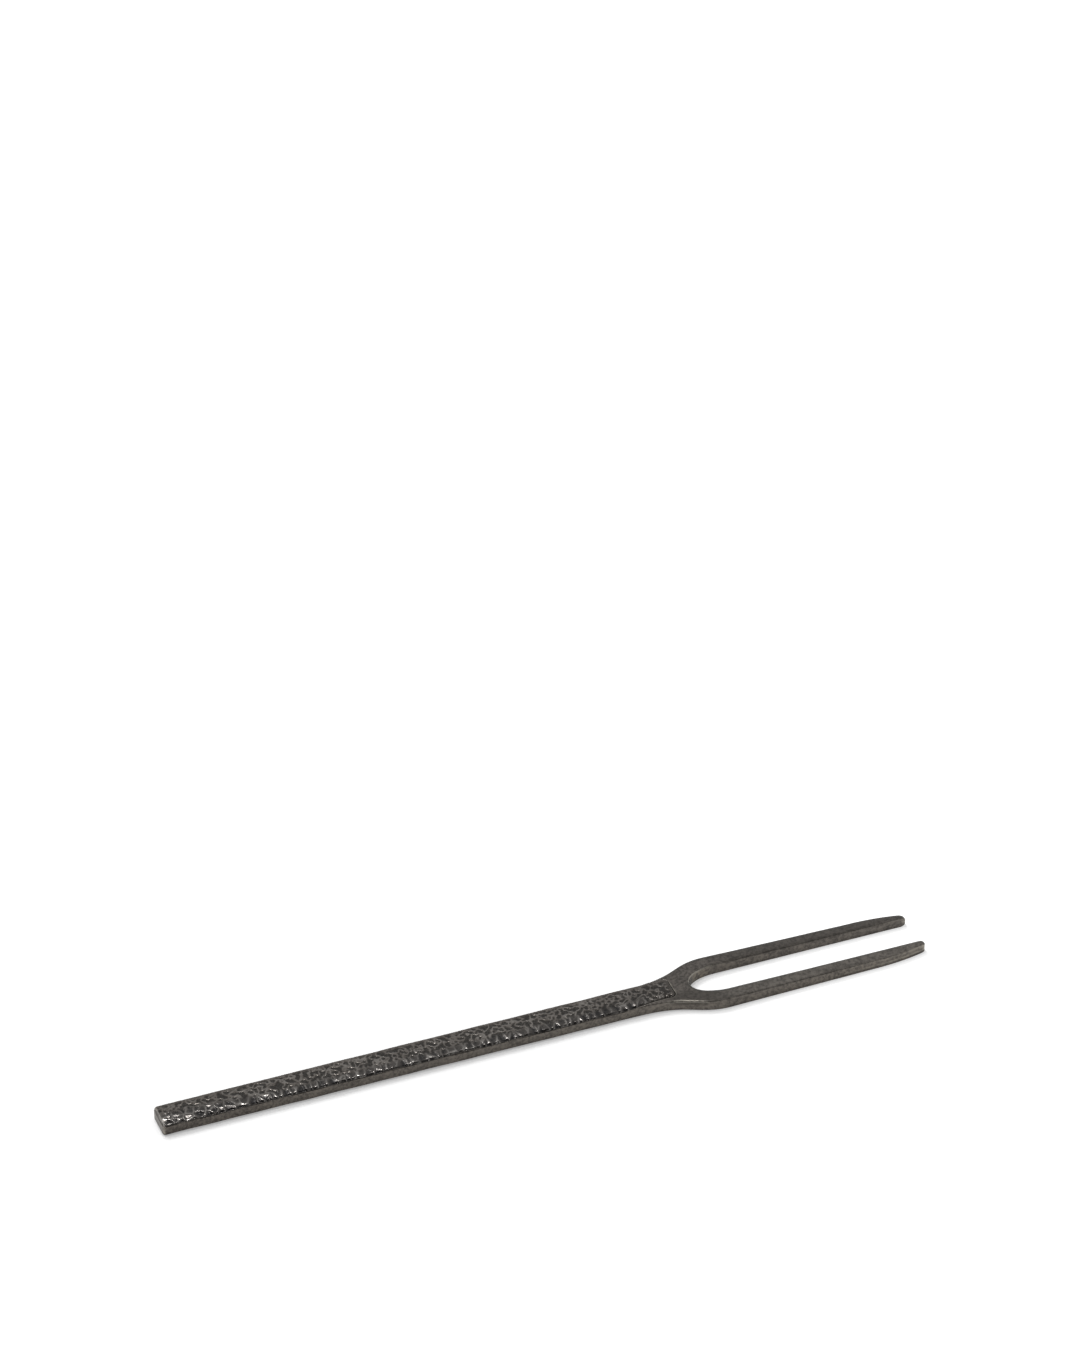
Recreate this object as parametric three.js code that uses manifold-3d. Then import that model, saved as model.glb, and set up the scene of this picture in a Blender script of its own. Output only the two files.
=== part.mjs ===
import * as THREE from 'three';
import { mergeVertices } from 'three/addons/utils/BufferGeometryUtils.js';
import Module from 'manifold-3d';

// A slender two-tined serving fork lying flat, in millimetres.
// +X runs from the butt of the handle to the tips, +Z is up, and the underside rests on z = 0.

// Lengths along the fork. The overall length is the sum of the first three.
const HANDLE_LENGTH = 122.6; // butt end to where the neck starts to widen
const NECK_LENGTH = 16.1; // start of the neck to the bottom of the slot
const SLOT_DEPTH = 61.3; // bottom of the slot to the tips
const SHOULDER_REACH = 6.8; // bottom of the slot to the widest point of the head
const SLOT_END_LENGTH = 8.6; // length of the half-ellipse that closes the slot
const TIP_CURVE_LENGTH = 15.2; // stretch in front where the outer edge of a tine curves in
const WEB_LENGTH = 4.95; // plain metal between the strip and the slot

// Widths across the fork.
const BUTT_WIDTH = 7.75;
const NECK_WIDTH = 7.9;
const SLOT_WIDTH = 9.75;
const TINE_ROOT_WIDTH = 4;
const TINE_FRONT_WIDTH = 3.13;
const TIP_WIDTH = 1.55;

// Thicknesses.
const BAR_THICKNESS = 2.95;
const TIP_THICKNESS = 2.6;
const STRIP_THICKNESS = 0.84;
const SEAT_DEPTH = 0.43; // how far the strip's seat lies below the top of the bar

// Rounds and easing lengths of the outline.
const BUTT_CORNER = 0.9;
const EDGE_ROUND = 0.3;
const NECK_EASE = 14.5; // how long the handle's line holds into the neck
const SHOULDER_EASE = 8.8; // how long the head's line holds back from the shoulder
const TIP_EASE = 7; // how long the slant of the tip holds back along the tine
const TIP_SLANT = THREE.MathUtils.degToRad(13.5);
const STRIP_CORNER = 1.3; // corners of the strip's end at the neck
const STRIP_ROLL = 0.6; // width over which the strip's top rolls down to its edge

// Fits.
const STRIP_INSET = 0.1; // the strip's sides and butt end lie this far inside the bar's
const SEAT_CLEARANCE = 0.15; // gap round the strip's end in the pocket at the neck

// Fineness of the curves.
const CURVE_STEPS = 12;
const EDGE_STEPS = 2;
const ROLL_STEPS = 3;
const LEAST_STEP = 0.01; // points nearer to each other than this are one point
const OVERRUN = 2; // how far a cut reaches past the metal that it takes away

// Stations and half-widths that follow from the sizes above.
const TOTAL_LENGTH = HANDLE_LENGTH + NECK_LENGTH + SLOT_DEPTH;
const TIP_X = TOTAL_LENGTH / 2;
const BUTT_X = -TIP_X;
const NECK_X = BUTT_X + HANDLE_LENGTH;
const SLOT_X = NECK_X + NECK_LENGTH;
const SHOULDER_X = SLOT_X + SHOULDER_REACH;
const SLOT_END_X = SLOT_X + SLOT_END_LENGTH;
const TIP_CURVE_X = TIP_X - TIP_CURVE_LENGTH;
const STRIP_END_X = SLOT_X - WEB_LENGTH;
const BUTT_HALF = BUTT_WIDTH / 2;
const NECK_HALF = NECK_WIDTH / 2;
const SLOT_HALF = SLOT_WIDTH / 2;
const HEAD_HALF = SLOT_HALF + TINE_ROOT_WIDTH;
const SEAT_Z = BAR_THICKNESS - SEAT_DEPTH;

// The side of the handle is straight, and the strip keeps to that line inside the neck.
function handleHalfWidth(x) {
  return THREE.MathUtils.mapLinear(x, BUTT_X, NECK_X, BUTT_HALF, NECK_HALF);
}

// One side of the fork from the butt, round the tip of its tine, to the bottom of the slot.
function sideOfFork() {
  const noseRadius = TIP_WIDTH / 2;
  const nose = new THREE.Vector2(TIP_X - noseRadius, SLOT_HALF + noseRadius);
  const noseStart = Math.PI / 2 - TIP_SLANT;
  const noseX = nose.x + noseRadius * Math.cos(noseStart);
  const noseY = nose.y + noseRadius * Math.sin(noseStart);
  const leadX = noseX - TIP_EASE * Math.cos(TIP_SLANT);
  const leadY = noseY + TIP_EASE * Math.sin(TIP_SLANT);

  const side = new THREE.Path();
  side.moveTo(BUTT_X, BUTT_HALF - BUTT_CORNER);
  side.absarc(BUTT_X + BUTT_CORNER, BUTT_HALF - BUTT_CORNER, BUTT_CORNER, Math.PI, Math.PI / 2, true);
  side.lineTo(NECK_X, NECK_HALF);
  const easeX = SHOULDER_X - SHOULDER_EASE;
  side.bezierCurveTo(NECK_X + NECK_EASE, NECK_HALF, easeX, HEAD_HALF, SHOULDER_X, HEAD_HALF);
  side.lineTo(TIP_CURVE_X, SLOT_HALF + TINE_FRONT_WIDTH);
  side.quadraticCurveTo(leadX, leadY, noseX, noseY);
  side.absarc(nose.x, nose.y, noseRadius, noseStart, -Math.PI / 2, true);
  side.lineTo(SLOT_END_X, SLOT_HALF);
  side.absellipse(SLOT_END_X, 0, SLOT_END_LENGTH, SLOT_HALF, Math.PI / 2, Math.PI, false);
  return side;
}

// One side of the strip from the butt to the middle of its rounded end, grown all round by a clearance.
function sideOfStrip(clearance) {
  const startX = BUTT_X + STRIP_INSET - clearance;
  const endX = STRIP_END_X + clearance;
  const corner = STRIP_CORNER + clearance;
  const startHalf = handleHalfWidth(startX) - STRIP_INSET + clearance;
  const endHalf = handleHalfWidth(endX) - STRIP_INSET + clearance;

  const side = new THREE.Path();
  side.moveTo(startX, startHalf - BUTT_CORNER);
  side.absarc(startX + BUTT_CORNER, startHalf - BUTT_CORNER, BUTT_CORNER, Math.PI, Math.PI / 2, true);
  side.lineTo(endX - corner, endHalf);
  side.absarc(endX - corner, endHalf - corner, corner, Math.PI / 2, 0, true);
  return side;
}

// A side and its mirror image make the whole outline.
function symmetricShape(side) {
  const points = side.getPoints(CURVE_STEPS);
  const upper = points.filter((point, i) => i === 0 || point.distanceTo(points[i - 1]) > LEAST_STEP);
  const offAxis = upper.filter((point) => point.y > LEAST_STEP);
  const lower = offAxis.map((point) => new THREE.Vector2(point.x, -point.y));
  return new THREE.Shape([...upper, ...lower.reverse()]);
}

const wasm = await Module();
wasm.setup();

// A closed geometry as a solid that can be cut.
function toSolid(geometry) {
  const bare = geometry.clone();
  bare.deleteAttribute('normal');
  bare.deleteAttribute('uv');
  const merged = mergeVertices(bare);
  const vertProperties = merged.attributes.position.array;
  const triVerts = Uint32Array.from(merged.index.array);
  return new wasm.Manifold(new wasm.Mesh({ numProp: 3, vertProperties, triVerts }));
}

// A cut solid as a geometry with flat faces.
function toGeometry(solid) {
  const mesh = solid.getMesh();
  const indexed = new THREE.BufferGeometry();
  indexed.setAttribute('position', new THREE.BufferAttribute(mesh.vertProperties, mesh.numProp));
  indexed.setIndex(new THREE.BufferAttribute(mesh.triVerts, 1));
  const geometry = indexed.toNonIndexed();
  geometry.computeVertexNormals();
  return geometry;
}

// An upright extrusion from z = bottom to z = top, with its rim rounded above and below.
function roundedPlate(shape, bottom, top, roundWidth, roundHeight, steps) {
  const geometry = new THREE.ExtrudeGeometry(shape, {
    depth: top - bottom - 2 * roundHeight,
    bevelEnabled: true,
    bevelSize: roundWidth,
    bevelOffset: -roundWidth,
    bevelThickness: roundHeight,
    bevelSegments: steps,
  });
  return geometry.translate(0, 0, bottom + roundHeight);
}

// The tines thin evenly from the straight part of the slot to the tips, and the underside stays flat.
function thinTheTines(geometry) {
  const position = geometry.attributes.position;
  for (let i = 0; i < position.count; i += 1) {
    const along = (position.getX(i) - SLOT_END_X) / (TIP_X - SLOT_END_X);
    const thinning = THREE.MathUtils.clamp(along, 0, 1) * (BAR_THICKNESS - TIP_THICKNESS);
    position.setZ(i, position.getZ(i) * (1 - thinning / BAR_THICKNESS));
  }
  return geometry;
}

// What is cut away for the strip: the top of the handle, and a pocket for its end at the neck.
function seatCutter() {
  const height = SEAT_DEPTH + OVERRUN;
  const length = HANDLE_LENGTH + OVERRUN;
  const width = Math.max(BUTT_WIDTH, NECK_WIDTH) + OVERRUN;
  const handleTop = new THREE.BoxGeometry(length, width, height);
  handleTop.translate(NECK_X - length / 2, 0, SEAT_Z + height / 2);
  const pocketShape = symmetricShape(sideOfStrip(SEAT_CLEARANCE));
  const pocket = new THREE.ExtrudeGeometry(pocketShape, { depth: height, bevelEnabled: false });
  pocket.translate(0, 0, SEAT_Z);
  return toSolid(handleTop).add(toSolid(pocket));
}

// The flat bar with its head and two tines, stepped down along the handle.
function makeForkBody() {
  const shape = symmetricShape(sideOfFork());
  const plate = roundedPlate(shape, 0, BAR_THICKNESS, EDGE_ROUND, EDGE_ROUND, EDGE_STEPS);
  const geometry = toGeometry(toSolid(thinTheTines(plate)).subtract(seatCutter()));
  const satinBlack = new THREE.MeshStandardMaterial({ color: 0x4e4a44, roughness: 0.5, metalness: 0.9 });
  const mesh = new THREE.Mesh(geometry, satinBlack);
  mesh.name = 'fork_body';
  return mesh;
}

// The strip on the handle: flat below, with a top that rolls down to the edge all round.
function makeGripStrip() {
  const shape = symmetricShape(sideOfStrip(0));
  const top = SEAT_Z + STRIP_THICKNESS;
  const below = SEAT_Z - 2 * STRIP_THICKNESS;
  const roll = Math.min(STRIP_ROLL, Math.min(BUTT_CORNER, STRIP_CORNER) - LEAST_STEP);
  const pillow = roundedPlate(shape, below, top, roll, STRIP_THICKNESS, ROLL_STEPS);
  const depthBelow = 2 * (SEAT_Z - below);
  const underSeat = new THREE.BoxGeometry(2 * TOTAL_LENGTH, 2 * HEAD_HALF, depthBelow);
  underSeat.translate(0, 0, SEAT_Z - depthBelow / 2);
  const geometry = toGeometry(toSolid(pillow).subtract(toSolid(underSeat)));
  const hammeredBlack = new THREE.MeshStandardMaterial({ color: 0x46423d, roughness: 0.35, metalness: 0.9 });
  const mesh = new THREE.Mesh(geometry, hammeredBlack);
  mesh.name = 'grip_strip';
  return mesh;
}

const fork = new THREE.Group();
fork.add(makeForkBody(), makeGripStrip());

export default fork;
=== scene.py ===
"""Dresses a slender two-tined serving fork: a satin body, a hammered grip strip, and a plain studio."""

import logging
import math
from dataclasses import dataclass, fields
from enum import Enum
from functools import reduce

import bpy
import numpy as np
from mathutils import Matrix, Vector
from mathutils.geometry import delaunay_2d_cdt


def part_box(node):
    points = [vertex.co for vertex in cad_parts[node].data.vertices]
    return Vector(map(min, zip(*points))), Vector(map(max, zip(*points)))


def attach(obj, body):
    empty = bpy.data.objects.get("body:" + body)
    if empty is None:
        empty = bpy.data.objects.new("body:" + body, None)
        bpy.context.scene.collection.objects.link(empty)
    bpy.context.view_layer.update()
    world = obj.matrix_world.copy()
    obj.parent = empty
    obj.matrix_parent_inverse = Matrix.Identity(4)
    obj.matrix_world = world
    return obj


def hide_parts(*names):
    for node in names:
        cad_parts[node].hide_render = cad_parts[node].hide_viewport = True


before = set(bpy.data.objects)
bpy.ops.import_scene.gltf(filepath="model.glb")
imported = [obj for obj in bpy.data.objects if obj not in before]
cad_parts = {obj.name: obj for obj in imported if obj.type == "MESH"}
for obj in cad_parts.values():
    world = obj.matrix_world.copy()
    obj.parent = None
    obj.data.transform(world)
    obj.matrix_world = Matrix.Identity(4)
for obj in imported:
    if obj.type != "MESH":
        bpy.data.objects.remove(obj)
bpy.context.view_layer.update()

LOG = logging.getLogger("fork")
MM = 0.001
BODY_NAME = "root"
Pair = tuple[float, float]
Spot = tuple[float, float, float]
Colour = tuple[float, float, float]
Socket = bpy.types.NodeSocket
Triangles = list[list[int]]

WHITE: Colour = (1.0, 1.0, 1.0)
UNIT: Pair = (0.0, 1.0)
LEVEL_PLANE: Spot = (1.0, 1.0, 0.0)
# Blender's noise lies about its middle, and the gain then brings it to about -1 to 1.
NOISE_MIDDLE = 0.5
NOISE_GAIN = 2.0
# A Mix node that is set to colours is wired by the numbers of its sockets.
MIX_SHARE, MIX_FIRST, MIX_SECOND, MIX_RESULT = 0, 6, 7, 2
# The triangulation keeps what lies inside the outline, and welds points that are this close.
TRIANGLES_INSIDE = 1
WELD_MM = 1e-6


class Node(Enum):
    """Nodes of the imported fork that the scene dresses."""

    BODY = "fork_body"
    STRIP = "grip_strip"


class Slot(Enum):
    """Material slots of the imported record."""

    SATIN = "satin_black"
    HAMMERED = "hammered_black"


class Mark(Enum):
    """Point attributes that tell a finish where it has painted highlights and painted shade, and where the
    metal is worn, smooth or sunk.
    """

    # Painted highlights on edges and walls, with some real edge wear at the tips and the butt.
    RUB = "edge_rub"
    TIP = "tip_rub"
    RELIEF = "relief_room"
    EDGE = "near_edge"
    SMOOTH = "smooth_foot"
    # Painted shade: a darker colour in the crease, beside edges and on faces that the light leaves dark.
    CREASE = "dark_crease"
    DIMPLE = "dimple_height"
    # Ridges painted brighter: rubbed wear, and painted glints near the strip's near edge.
    RIDGE = "ridge_line"


class Seed(Enum):
    """Seeds of the smooth random fields."""

    FAR_EDGE = 3
    NEAR_EDGE = 8
    NEAR_CREASE = 12
    FAR_CREASE = 17
    TOP_SWELL = 21
    CREASE_BREAKS = 29
    WALL_SWELL = 33


def straight(start: Pair, end: Pair, step: float) -> np.ndarray:
    """Points along a straight line, without its last point.

    Args:
        start: First point.
        end: Point where the next stretch begins.
        step: Largest distance between two points.

    Returns:
        An array of points, one per row.
    """
    count = max(1, math.ceil(math.dist(start, end) / step))
    share = np.arange(count) / count
    return np.outer(1 - share, start) + np.outer(share, end)


def bezier(controls: list[Pair], step: float) -> np.ndarray:
    """Points along a Bezier curve of any degree, without its last point.

    Args:
        controls: Control points from the first to the last.
        step: Largest distance between two points, measured on the control polygon.

    Returns:
        An array of points, one per row.
    """
    fewest = 2
    length = sum(math.dist(a, b) for a, b in zip(controls, controls[1:]))
    count = max(fewest, math.ceil(length / step))
    share = (np.arange(count) / count)[:, None]
    rows = [np.repeat([point], count, axis=0) for point in controls]
    while len(rows) > 1:
        rows = [(1 - share) * a + share * b for a, b in zip(rows, rows[1:])]
    return rows[0]


def ellipse_arc(centre: Pair, radii: Pair, start: float, end: float, step: float) -> np.ndarray:
    """Points along an arc of an upright ellipse, without its last point.

    Args:
        centre: Centre of the ellipse.
        radii: Half-lengths along x and y.
        start: Angle of the first point, in radians.
        end: Angle where the next stretch begins, in radians.
        step: Largest distance between two points.

    Returns:
        An array of points, one per row.
    """
    fewest = 4
    count = max(fewest, math.ceil(abs(end - start) * max(radii) / step))
    angles = start + (end - start) * np.arange(count) / count
    return np.array(centre) + np.array(radii) * np.column_stack((np.cos(angles), np.sin(angles)))


def smooth_step(low: float, high: float, value: np.ndarray) -> np.ndarray:
    """A share that eases from 0 at low to 1 at high."""
    share = np.clip((value - low) / (high - low), 0.0, 1.0)
    return share * share * (3 - 2 * share)


def ramp(value: np.ndarray, origin: float, reach: Pair) -> np.ndarray:
    """A share that eases from 0 to 1 between two distances from an origin."""
    return smooth_step(origin + reach[0], origin + reach[1], value)


def hump(value: np.ndarray, centre: float, width: float) -> np.ndarray:
    """A share that is 1 at the centre and dies away on both sides of it."""
    return np.exp(-(((value - centre) / width) ** 2))


def wander(points: np.ndarray, wavelength: float, seed: Seed) -> np.ndarray:
    """A smooth random field of about unit size, made of plane waves.

    Args:
        points: Places where the field is wanted, one per row.
        wavelength: Typical distance from one swell to the next.
        seed: Seed of the waves' directions and phases.

    Returns:
        One value for each point.
    """
    waves = 9
    stretch = (0.6, 1.6)
    chance = np.random.default_rng(seed.value)
    directions = chance.normal(size=(points.shape[1], waves))
    directions /= np.linalg.norm(directions, axis=0)
    pitches = 2 * math.pi / (wavelength * chance.uniform(*stretch, waves))
    phases = chance.uniform(0, 2 * math.pi, waves)
    return np.sin(points @ (directions * pitches) + phases).sum(axis=1) / math.sqrt(waves)


def inside(polygon: np.ndarray, points: np.ndarray) -> np.ndarray:
    """Tells which points lie inside a closed polygon.

    Args:
        polygon: Corners of the polygon, one per row.
        points: Points to test, one per row.

    Returns:
        One truth value for each point.
    """
    result = np.zeros(len(points), bool)
    for (ax, ay), (bx, by) in zip(polygon, np.roll(polygon, -1, axis=0)):
        if ay == by:
            continue
        crosses = (ay > points[:, 1]) != (by > points[:, 1])
        result ^= crosses & (points[:, 0] < (bx - ax) * (points[:, 1] - ay) / (by - ay) + ax)
    return result


def distance_to(polygon: np.ndarray, points: np.ndarray) -> np.ndarray:
    """Distance from each point to the nearest corner of a finely stepped polygon.

    Args:
        polygon: Corners of the polygon, one per row.
        points: Points to measure, one per row.

    Returns:
        One distance for each point.
    """
    block = 400
    nearest = []
    for start in range(0, len(points), block):
        gap = points[start : start + block, None] - polygon[None]
        nearest.append(np.sqrt((gap**2).sum(axis=2)).min(axis=1))
    return np.concatenate(nearest)


@dataclass(frozen=True)
class ForkPlan:
    """The fork seen from above, in metres, from the butt of the handle to the tips."""

    butt_x: float
    tip_x: float
    strip_start_x: float
    strip_end_x: float
    handle_length: float = 122.6 * MM
    slot_depth: float = 61.3 * MM
    shoulder_reach: float = 6.8 * MM
    slot_end_length: float = 8.6 * MM
    tip_curve_length: float = 15.2 * MM
    butt_width: float = 7.75 * MM
    neck_width: float = 7.9 * MM
    slot_width: float = 9.75 * MM
    tine_root_width: float = 4 * MM
    tine_front_width: float = 3.13 * MM
    tip_width: float = 1.55 * MM
    butt_corner: float = 0.9 * MM
    neck_ease: float = 14.5 * MM
    shoulder_ease: float = 8.8 * MM
    tip_ease: float = 7 * MM
    tip_slant: float = math.radians(13.5)
    strip_inset: float = 0.03 * MM
    strip_corner: float = 1.3 * MM
    seat_clearance: float = 0.06 * MM
    waver: float = 0.05 * MM
    waver_length: float = 16 * MM
    near_tine_growth: float = 0.2 * MM
    strip_tuck: float = 0.9 * MM
    tuck_lead: float = 4 * MM
    tuck_length: float = 11 * MM

    @classmethod
    def from_frame(cls) -> "ForkPlan":
        """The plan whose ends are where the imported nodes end.

        Returns:
            The new plan.
        """
        body_low, body_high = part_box(Node.BODY.value)
        strip_low, strip_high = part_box(Node.STRIP.value)
        return cls(body_low.x, body_high.x, strip_low.x, strip_high.x)

    @property
    def neck_x(self) -> float:
        """Where the handle starts to widen."""
        return self.butt_x + self.handle_length

    @property
    def slot_x(self) -> float:
        """Where the slot ends."""
        return self.tip_x - self.slot_depth

    @property
    def slot_half(self) -> float:
        """Half the width of the slot."""
        return self.slot_width / 2

    @property
    def taper_x(self) -> float:
        """Where the slot becomes straight and the tines start to thin."""
        return self.slot_x + self.slot_end_length

    def handle_half(self, x: np.ndarray) -> np.ndarray:
        """Half-width of the handle's straight taper, carried on into the neck."""
        share = (x - self.butt_x) / self.handle_length
        return (self.butt_width + share * (self.neck_width - self.butt_width)) / 2

    def tuck(self, x: np.ndarray, y: np.ndarray) -> np.ndarray:
        """How far the near side of the strip draws in from the handle's line towards the neck."""
        start = self.neck_x - self.tuck_lead
        return self.strip_tuck * smooth_step(start, start + self.tuck_length, x) * (y < 0)

    def outer(self, points: np.ndarray) -> np.ndarray:
        """1 on the outer sides of the tines, 0 on the sides that face the slot."""
        return np.clip((np.abs(points[:, 1]) - self.slot_half) / (self.tip_width / 2), 0, 1)

    def edge_waver(self, x: np.ndarray, y: np.ndarray) -> np.ndarray:
        """How far the hand-finished edge of the handle strays from its line.

        Args:
            x: Places along the fork.
            y: Places across it, which tell one side from the other.

        Returns:
            Distance outwards for each place, fading out at the neck.
        """
        far, near = (wander(x[:, None], self.waver_length, seed) for seed in (Seed.FAR_EDGE, Seed.NEAR_EDGE))
        fade = 1 - smooth_step(self.neck_x, self.slot_x, x)
        return self.waver * fade * np.where(y > 0, far, near)

    def side(self, step: float) -> np.ndarray:
        """One side of the outline, from the middle of the butt to the bottom of the slot.

        Args:
            step: Largest distance between two points.

        Returns:
            An array of points, one per row.
        """
        quarter = math.pi / 2
        corner, slot_half = self.butt_corner, self.slot_half
        butt_half, neck_half = self.butt_width / 2, self.neck_width / 2
        head_half = slot_half + self.tine_root_width
        shoulder_x = self.slot_x + self.shoulder_reach
        front = (self.tip_x - self.tip_curve_length, slot_half + self.tine_front_width)
        nose_radius = self.tip_width / 2
        nose = (self.tip_x - nose_radius, slot_half + nose_radius)
        nose_angle = quarter - self.tip_slant
        nose_start = (
            nose[0] + nose_radius * math.cos(nose_angle),
            nose[1] + nose_radius * math.sin(nose_angle),
        )
        lead = (
            nose_start[0] - self.tip_ease * math.cos(self.tip_slant),
            nose_start[1] + self.tip_ease * math.sin(self.tip_slant),
        )
        neck, shoulder = (self.neck_x, neck_half), (shoulder_x, head_half)
        neck_pull = (self.neck_x + self.neck_ease, neck_half)
        shoulder_pull = (shoulder_x - self.shoulder_ease, head_half)
        bend = (self.butt_x + corner, butt_half - corner)
        slot_end = (self.slot_end_length, slot_half)
        return np.concatenate(
            (
                straight((self.butt_x, 0), (self.butt_x, butt_half - corner), step),
                ellipse_arc(bend, (corner, corner), math.pi, quarter, step),
                straight((self.butt_x + corner, butt_half), neck, step),
                bezier([neck, neck_pull, shoulder_pull, shoulder], step),
                straight(shoulder, front, step),
                bezier([front, lead, nose_start], step),
                ellipse_arc(nose, (nose_radius, nose_radius), nose_angle, -quarter, step),
                straight((nose[0], slot_half), (self.taper_x, slot_half), step),
                ellipse_arc((self.taper_x, 0), slot_end, quarter, math.pi, step),
                [(self.slot_x, 0)],
            )
        )

    def outline(self, step: float) -> np.ndarray:
        """The whole outline, anticlockwise seen from above, with straying edges and a fuller near tine.

        Args:
            step: Largest distance between two points.

        Returns:
            An array of points, one per row, with no point twice.
        """
        upper = self.side(step)
        lower = upper[1:-1][::-1] * (1, -1)
        around = np.concatenate((upper, lower))[::-1]
        outer = np.abs(around[:, 1]) > self.butt_width / 2 - self.butt_corner
        stray = self.edge_waver(around[:, 0], around[:, 1]) * np.sign(around[:, 1])
        around[:, 1] += np.where(outer, stray, 0)
        near_tine = np.clip((-around[:, 1] - self.slot_half) / (self.tip_width / 2), 0, 1)
        front = smooth_step(self.taper_x, self.tip_x - self.tip_curve_length, around[:, 0])
        around[:, 1] -= self.near_tine_growth * near_tine * front
        return around

    def pocket_distance(self, points: np.ndarray) -> np.ndarray:
        """Distance from the wall of the strip's pocket, negative inside it.

        Args:
            points: Places seen from above, one per row.

        Returns:
            One signed distance for each place.
        """
        corner = self.strip_corner + self.seat_clearance
        end = self.strip_end_x + self.seat_clearance
        half = self.handle_half(points[:, 0]) - self.strip_inset + self.seat_clearance
        half = half - self.tuck(points[:, 0], points[:, 1])
        along = points[:, 0] - (end - corner)
        across = np.abs(points[:, 1]) - (half - corner)
        outside = np.hypot(np.maximum(along, 0), np.maximum(across, 0))
        return outside + np.minimum(np.maximum(along, across), 0) - corner


def make_mesh(name: str, points: np.ndarray, faces: list, marks: dict[Mark, np.ndarray]) -> bpy.types.Mesh:
    """A smooth-shaded mesh with point attributes.

    Args:
        name: Name of the mesh.
        points: Vertices, one per row.
        faces: Vertex numbers of each face.
        marks: Values of each attribute, one for each vertex.

    Returns:
        The new mesh.
    """
    mesh = bpy.data.meshes.new(name)
    mesh.from_pydata(points.tolist(), [], faces)
    mesh.shade_smooth()
    for mark, values in marks.items():
        layer = mesh.attributes.new(mark.value, "FLOAT", "POINT")
        layer.data.foreach_set("value", values.astype(np.float32))
    mesh.validate()
    return mesh


def add_object(name: str, data: bpy.types.ID) -> bpy.types.Object:
    """Adds an object at the origin to the scene.

    Args:
        name: Name of the object.
        data: Mesh, camera or lamp that it shows.

    Returns:
        The new object.
    """
    made = bpy.data.objects.new(name, data)
    bpy.context.scene.collection.objects.link(made)
    return made


def add_aimed(name: str, data: bpy.types.ID, place: Spot, aim: Spot) -> bpy.types.Object:
    """Adds a camera or lamp that looks at a point.

    Args:
        name: Name of the object.
        data: Camera or lamp that it shows.
        place: Where it stands.
        aim: The point that it looks at.

    Returns:
        The new object.
    """
    made = add_object(name, data)
    made.location = place
    made.rotation_euler = (Vector(aim) - Vector(place)).to_track_quat("-Z", "Y").to_euler()
    return made


class NodeBench:
    """Places nodes in a tree and wires them, for materials and for geometry alike."""

    def __init__(self, tree: bpy.types.NodeTree) -> None:
        """Keeps the tree that nodes are added to."""
        self.tree = tree

    def add(self, kind: str, sockets: dict | None = None, **settings: object) -> bpy.types.Node:
        """Adds a node.

        Args:
            kind: Blender's type name of the node.
            sockets: Values or output sockets for its inputs, by input name or number.
            settings: Properties of the node itself.

        Returns:
            The new node.
        """
        node = self.tree.nodes.new(kind)
        for name, value in settings.items():
            setattr(node, name, value)
        for name, value in (sockets or {}).items():
            self.feed(node.inputs[name], value)
        return node

    def feed(self, socket: Socket, value: object) -> None:
        """Links an output socket to an input, or sets the input's own value.

        Args:
            socket: The input.
            value: An output socket, or a plain value.
        """
        if isinstance(value, Socket):
            self.tree.links.new(value, socket)
        else:
            socket.default_value = value

    def math(self, operation: str, first: object, second: object = 0.0, third: object = 0.0) -> Socket:
        """The output of a Math node on up to three values."""
        return self.add("ShaderNodeMath", {0: first, 1: second, 2: third}, operation=operation).outputs[0]

    def product(self, *factors: object) -> Socket:
        """The product of two or more values."""
        return reduce(lambda first, second: self.math("MULTIPLY", first, second), factors)

    def vector(self, operation: str, first: object, second: object) -> bpy.types.Node:
        """A Vector Math node on two vectors."""
        return self.add("ShaderNodeVectorMath", {0: first, 1: second}, operation=operation)

    def scaled(self, vector: object, factor: object) -> Socket:
        """A vector times a number."""
        return self.add("ShaderNodeVectorMath", {0: vector, "Scale": factor}, operation="SCALE").outputs[0]

    def spread(self, value: object, old: Pair, new: tuple[object, object]) -> Socket:
        """The output of a smooth Map Range node from one range to another."""
        sockets = {0: value, 1: old[0], 2: old[1], 3: new[0], 4: new[1]}
        return self.add("ShaderNodeMapRange", sockets, interpolation_type="SMOOTHSTEP").outputs[0]

    def blend(self, share: object, first: object, second: object) -> Socket:
        """The output of a Mix node that is set to colours."""
        sockets = {MIX_SHARE: share, MIX_FIRST: first, MIX_SECOND: second}
        return self.add("ShaderNodeMix", sockets, data_type="RGBA").outputs[MIX_RESULT]

    def mark(self, mark: Mark) -> Socket:
        """A point attribute, as a material reads it."""
        return self.add("ShaderNodeAttribute", attribute_name=mark.value).outputs["Fac"]


def opaque(colour: Colour) -> tuple[float, float, float, float]:
    """A colour with full opacity, as Blender's colour sockets want it."""
    return (*colour, 1.0)


@dataclass(frozen=True)
class Grain:
    """One layer of fine noise in a metal, and how much it counts."""

    scale: float
    detail: float
    rough: float
    weight: float

    def build(self, bench: NodeBench, place: object) -> Socket:
        """The noise on given coordinates, about 0.5 on average."""
        sockets = {"Vector": place, "Scale": self.scale, "Detail": self.detail, "Roughness": self.rough}
        return bench.add("ShaderNodeTexNoise", sockets).outputs[0]


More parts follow.
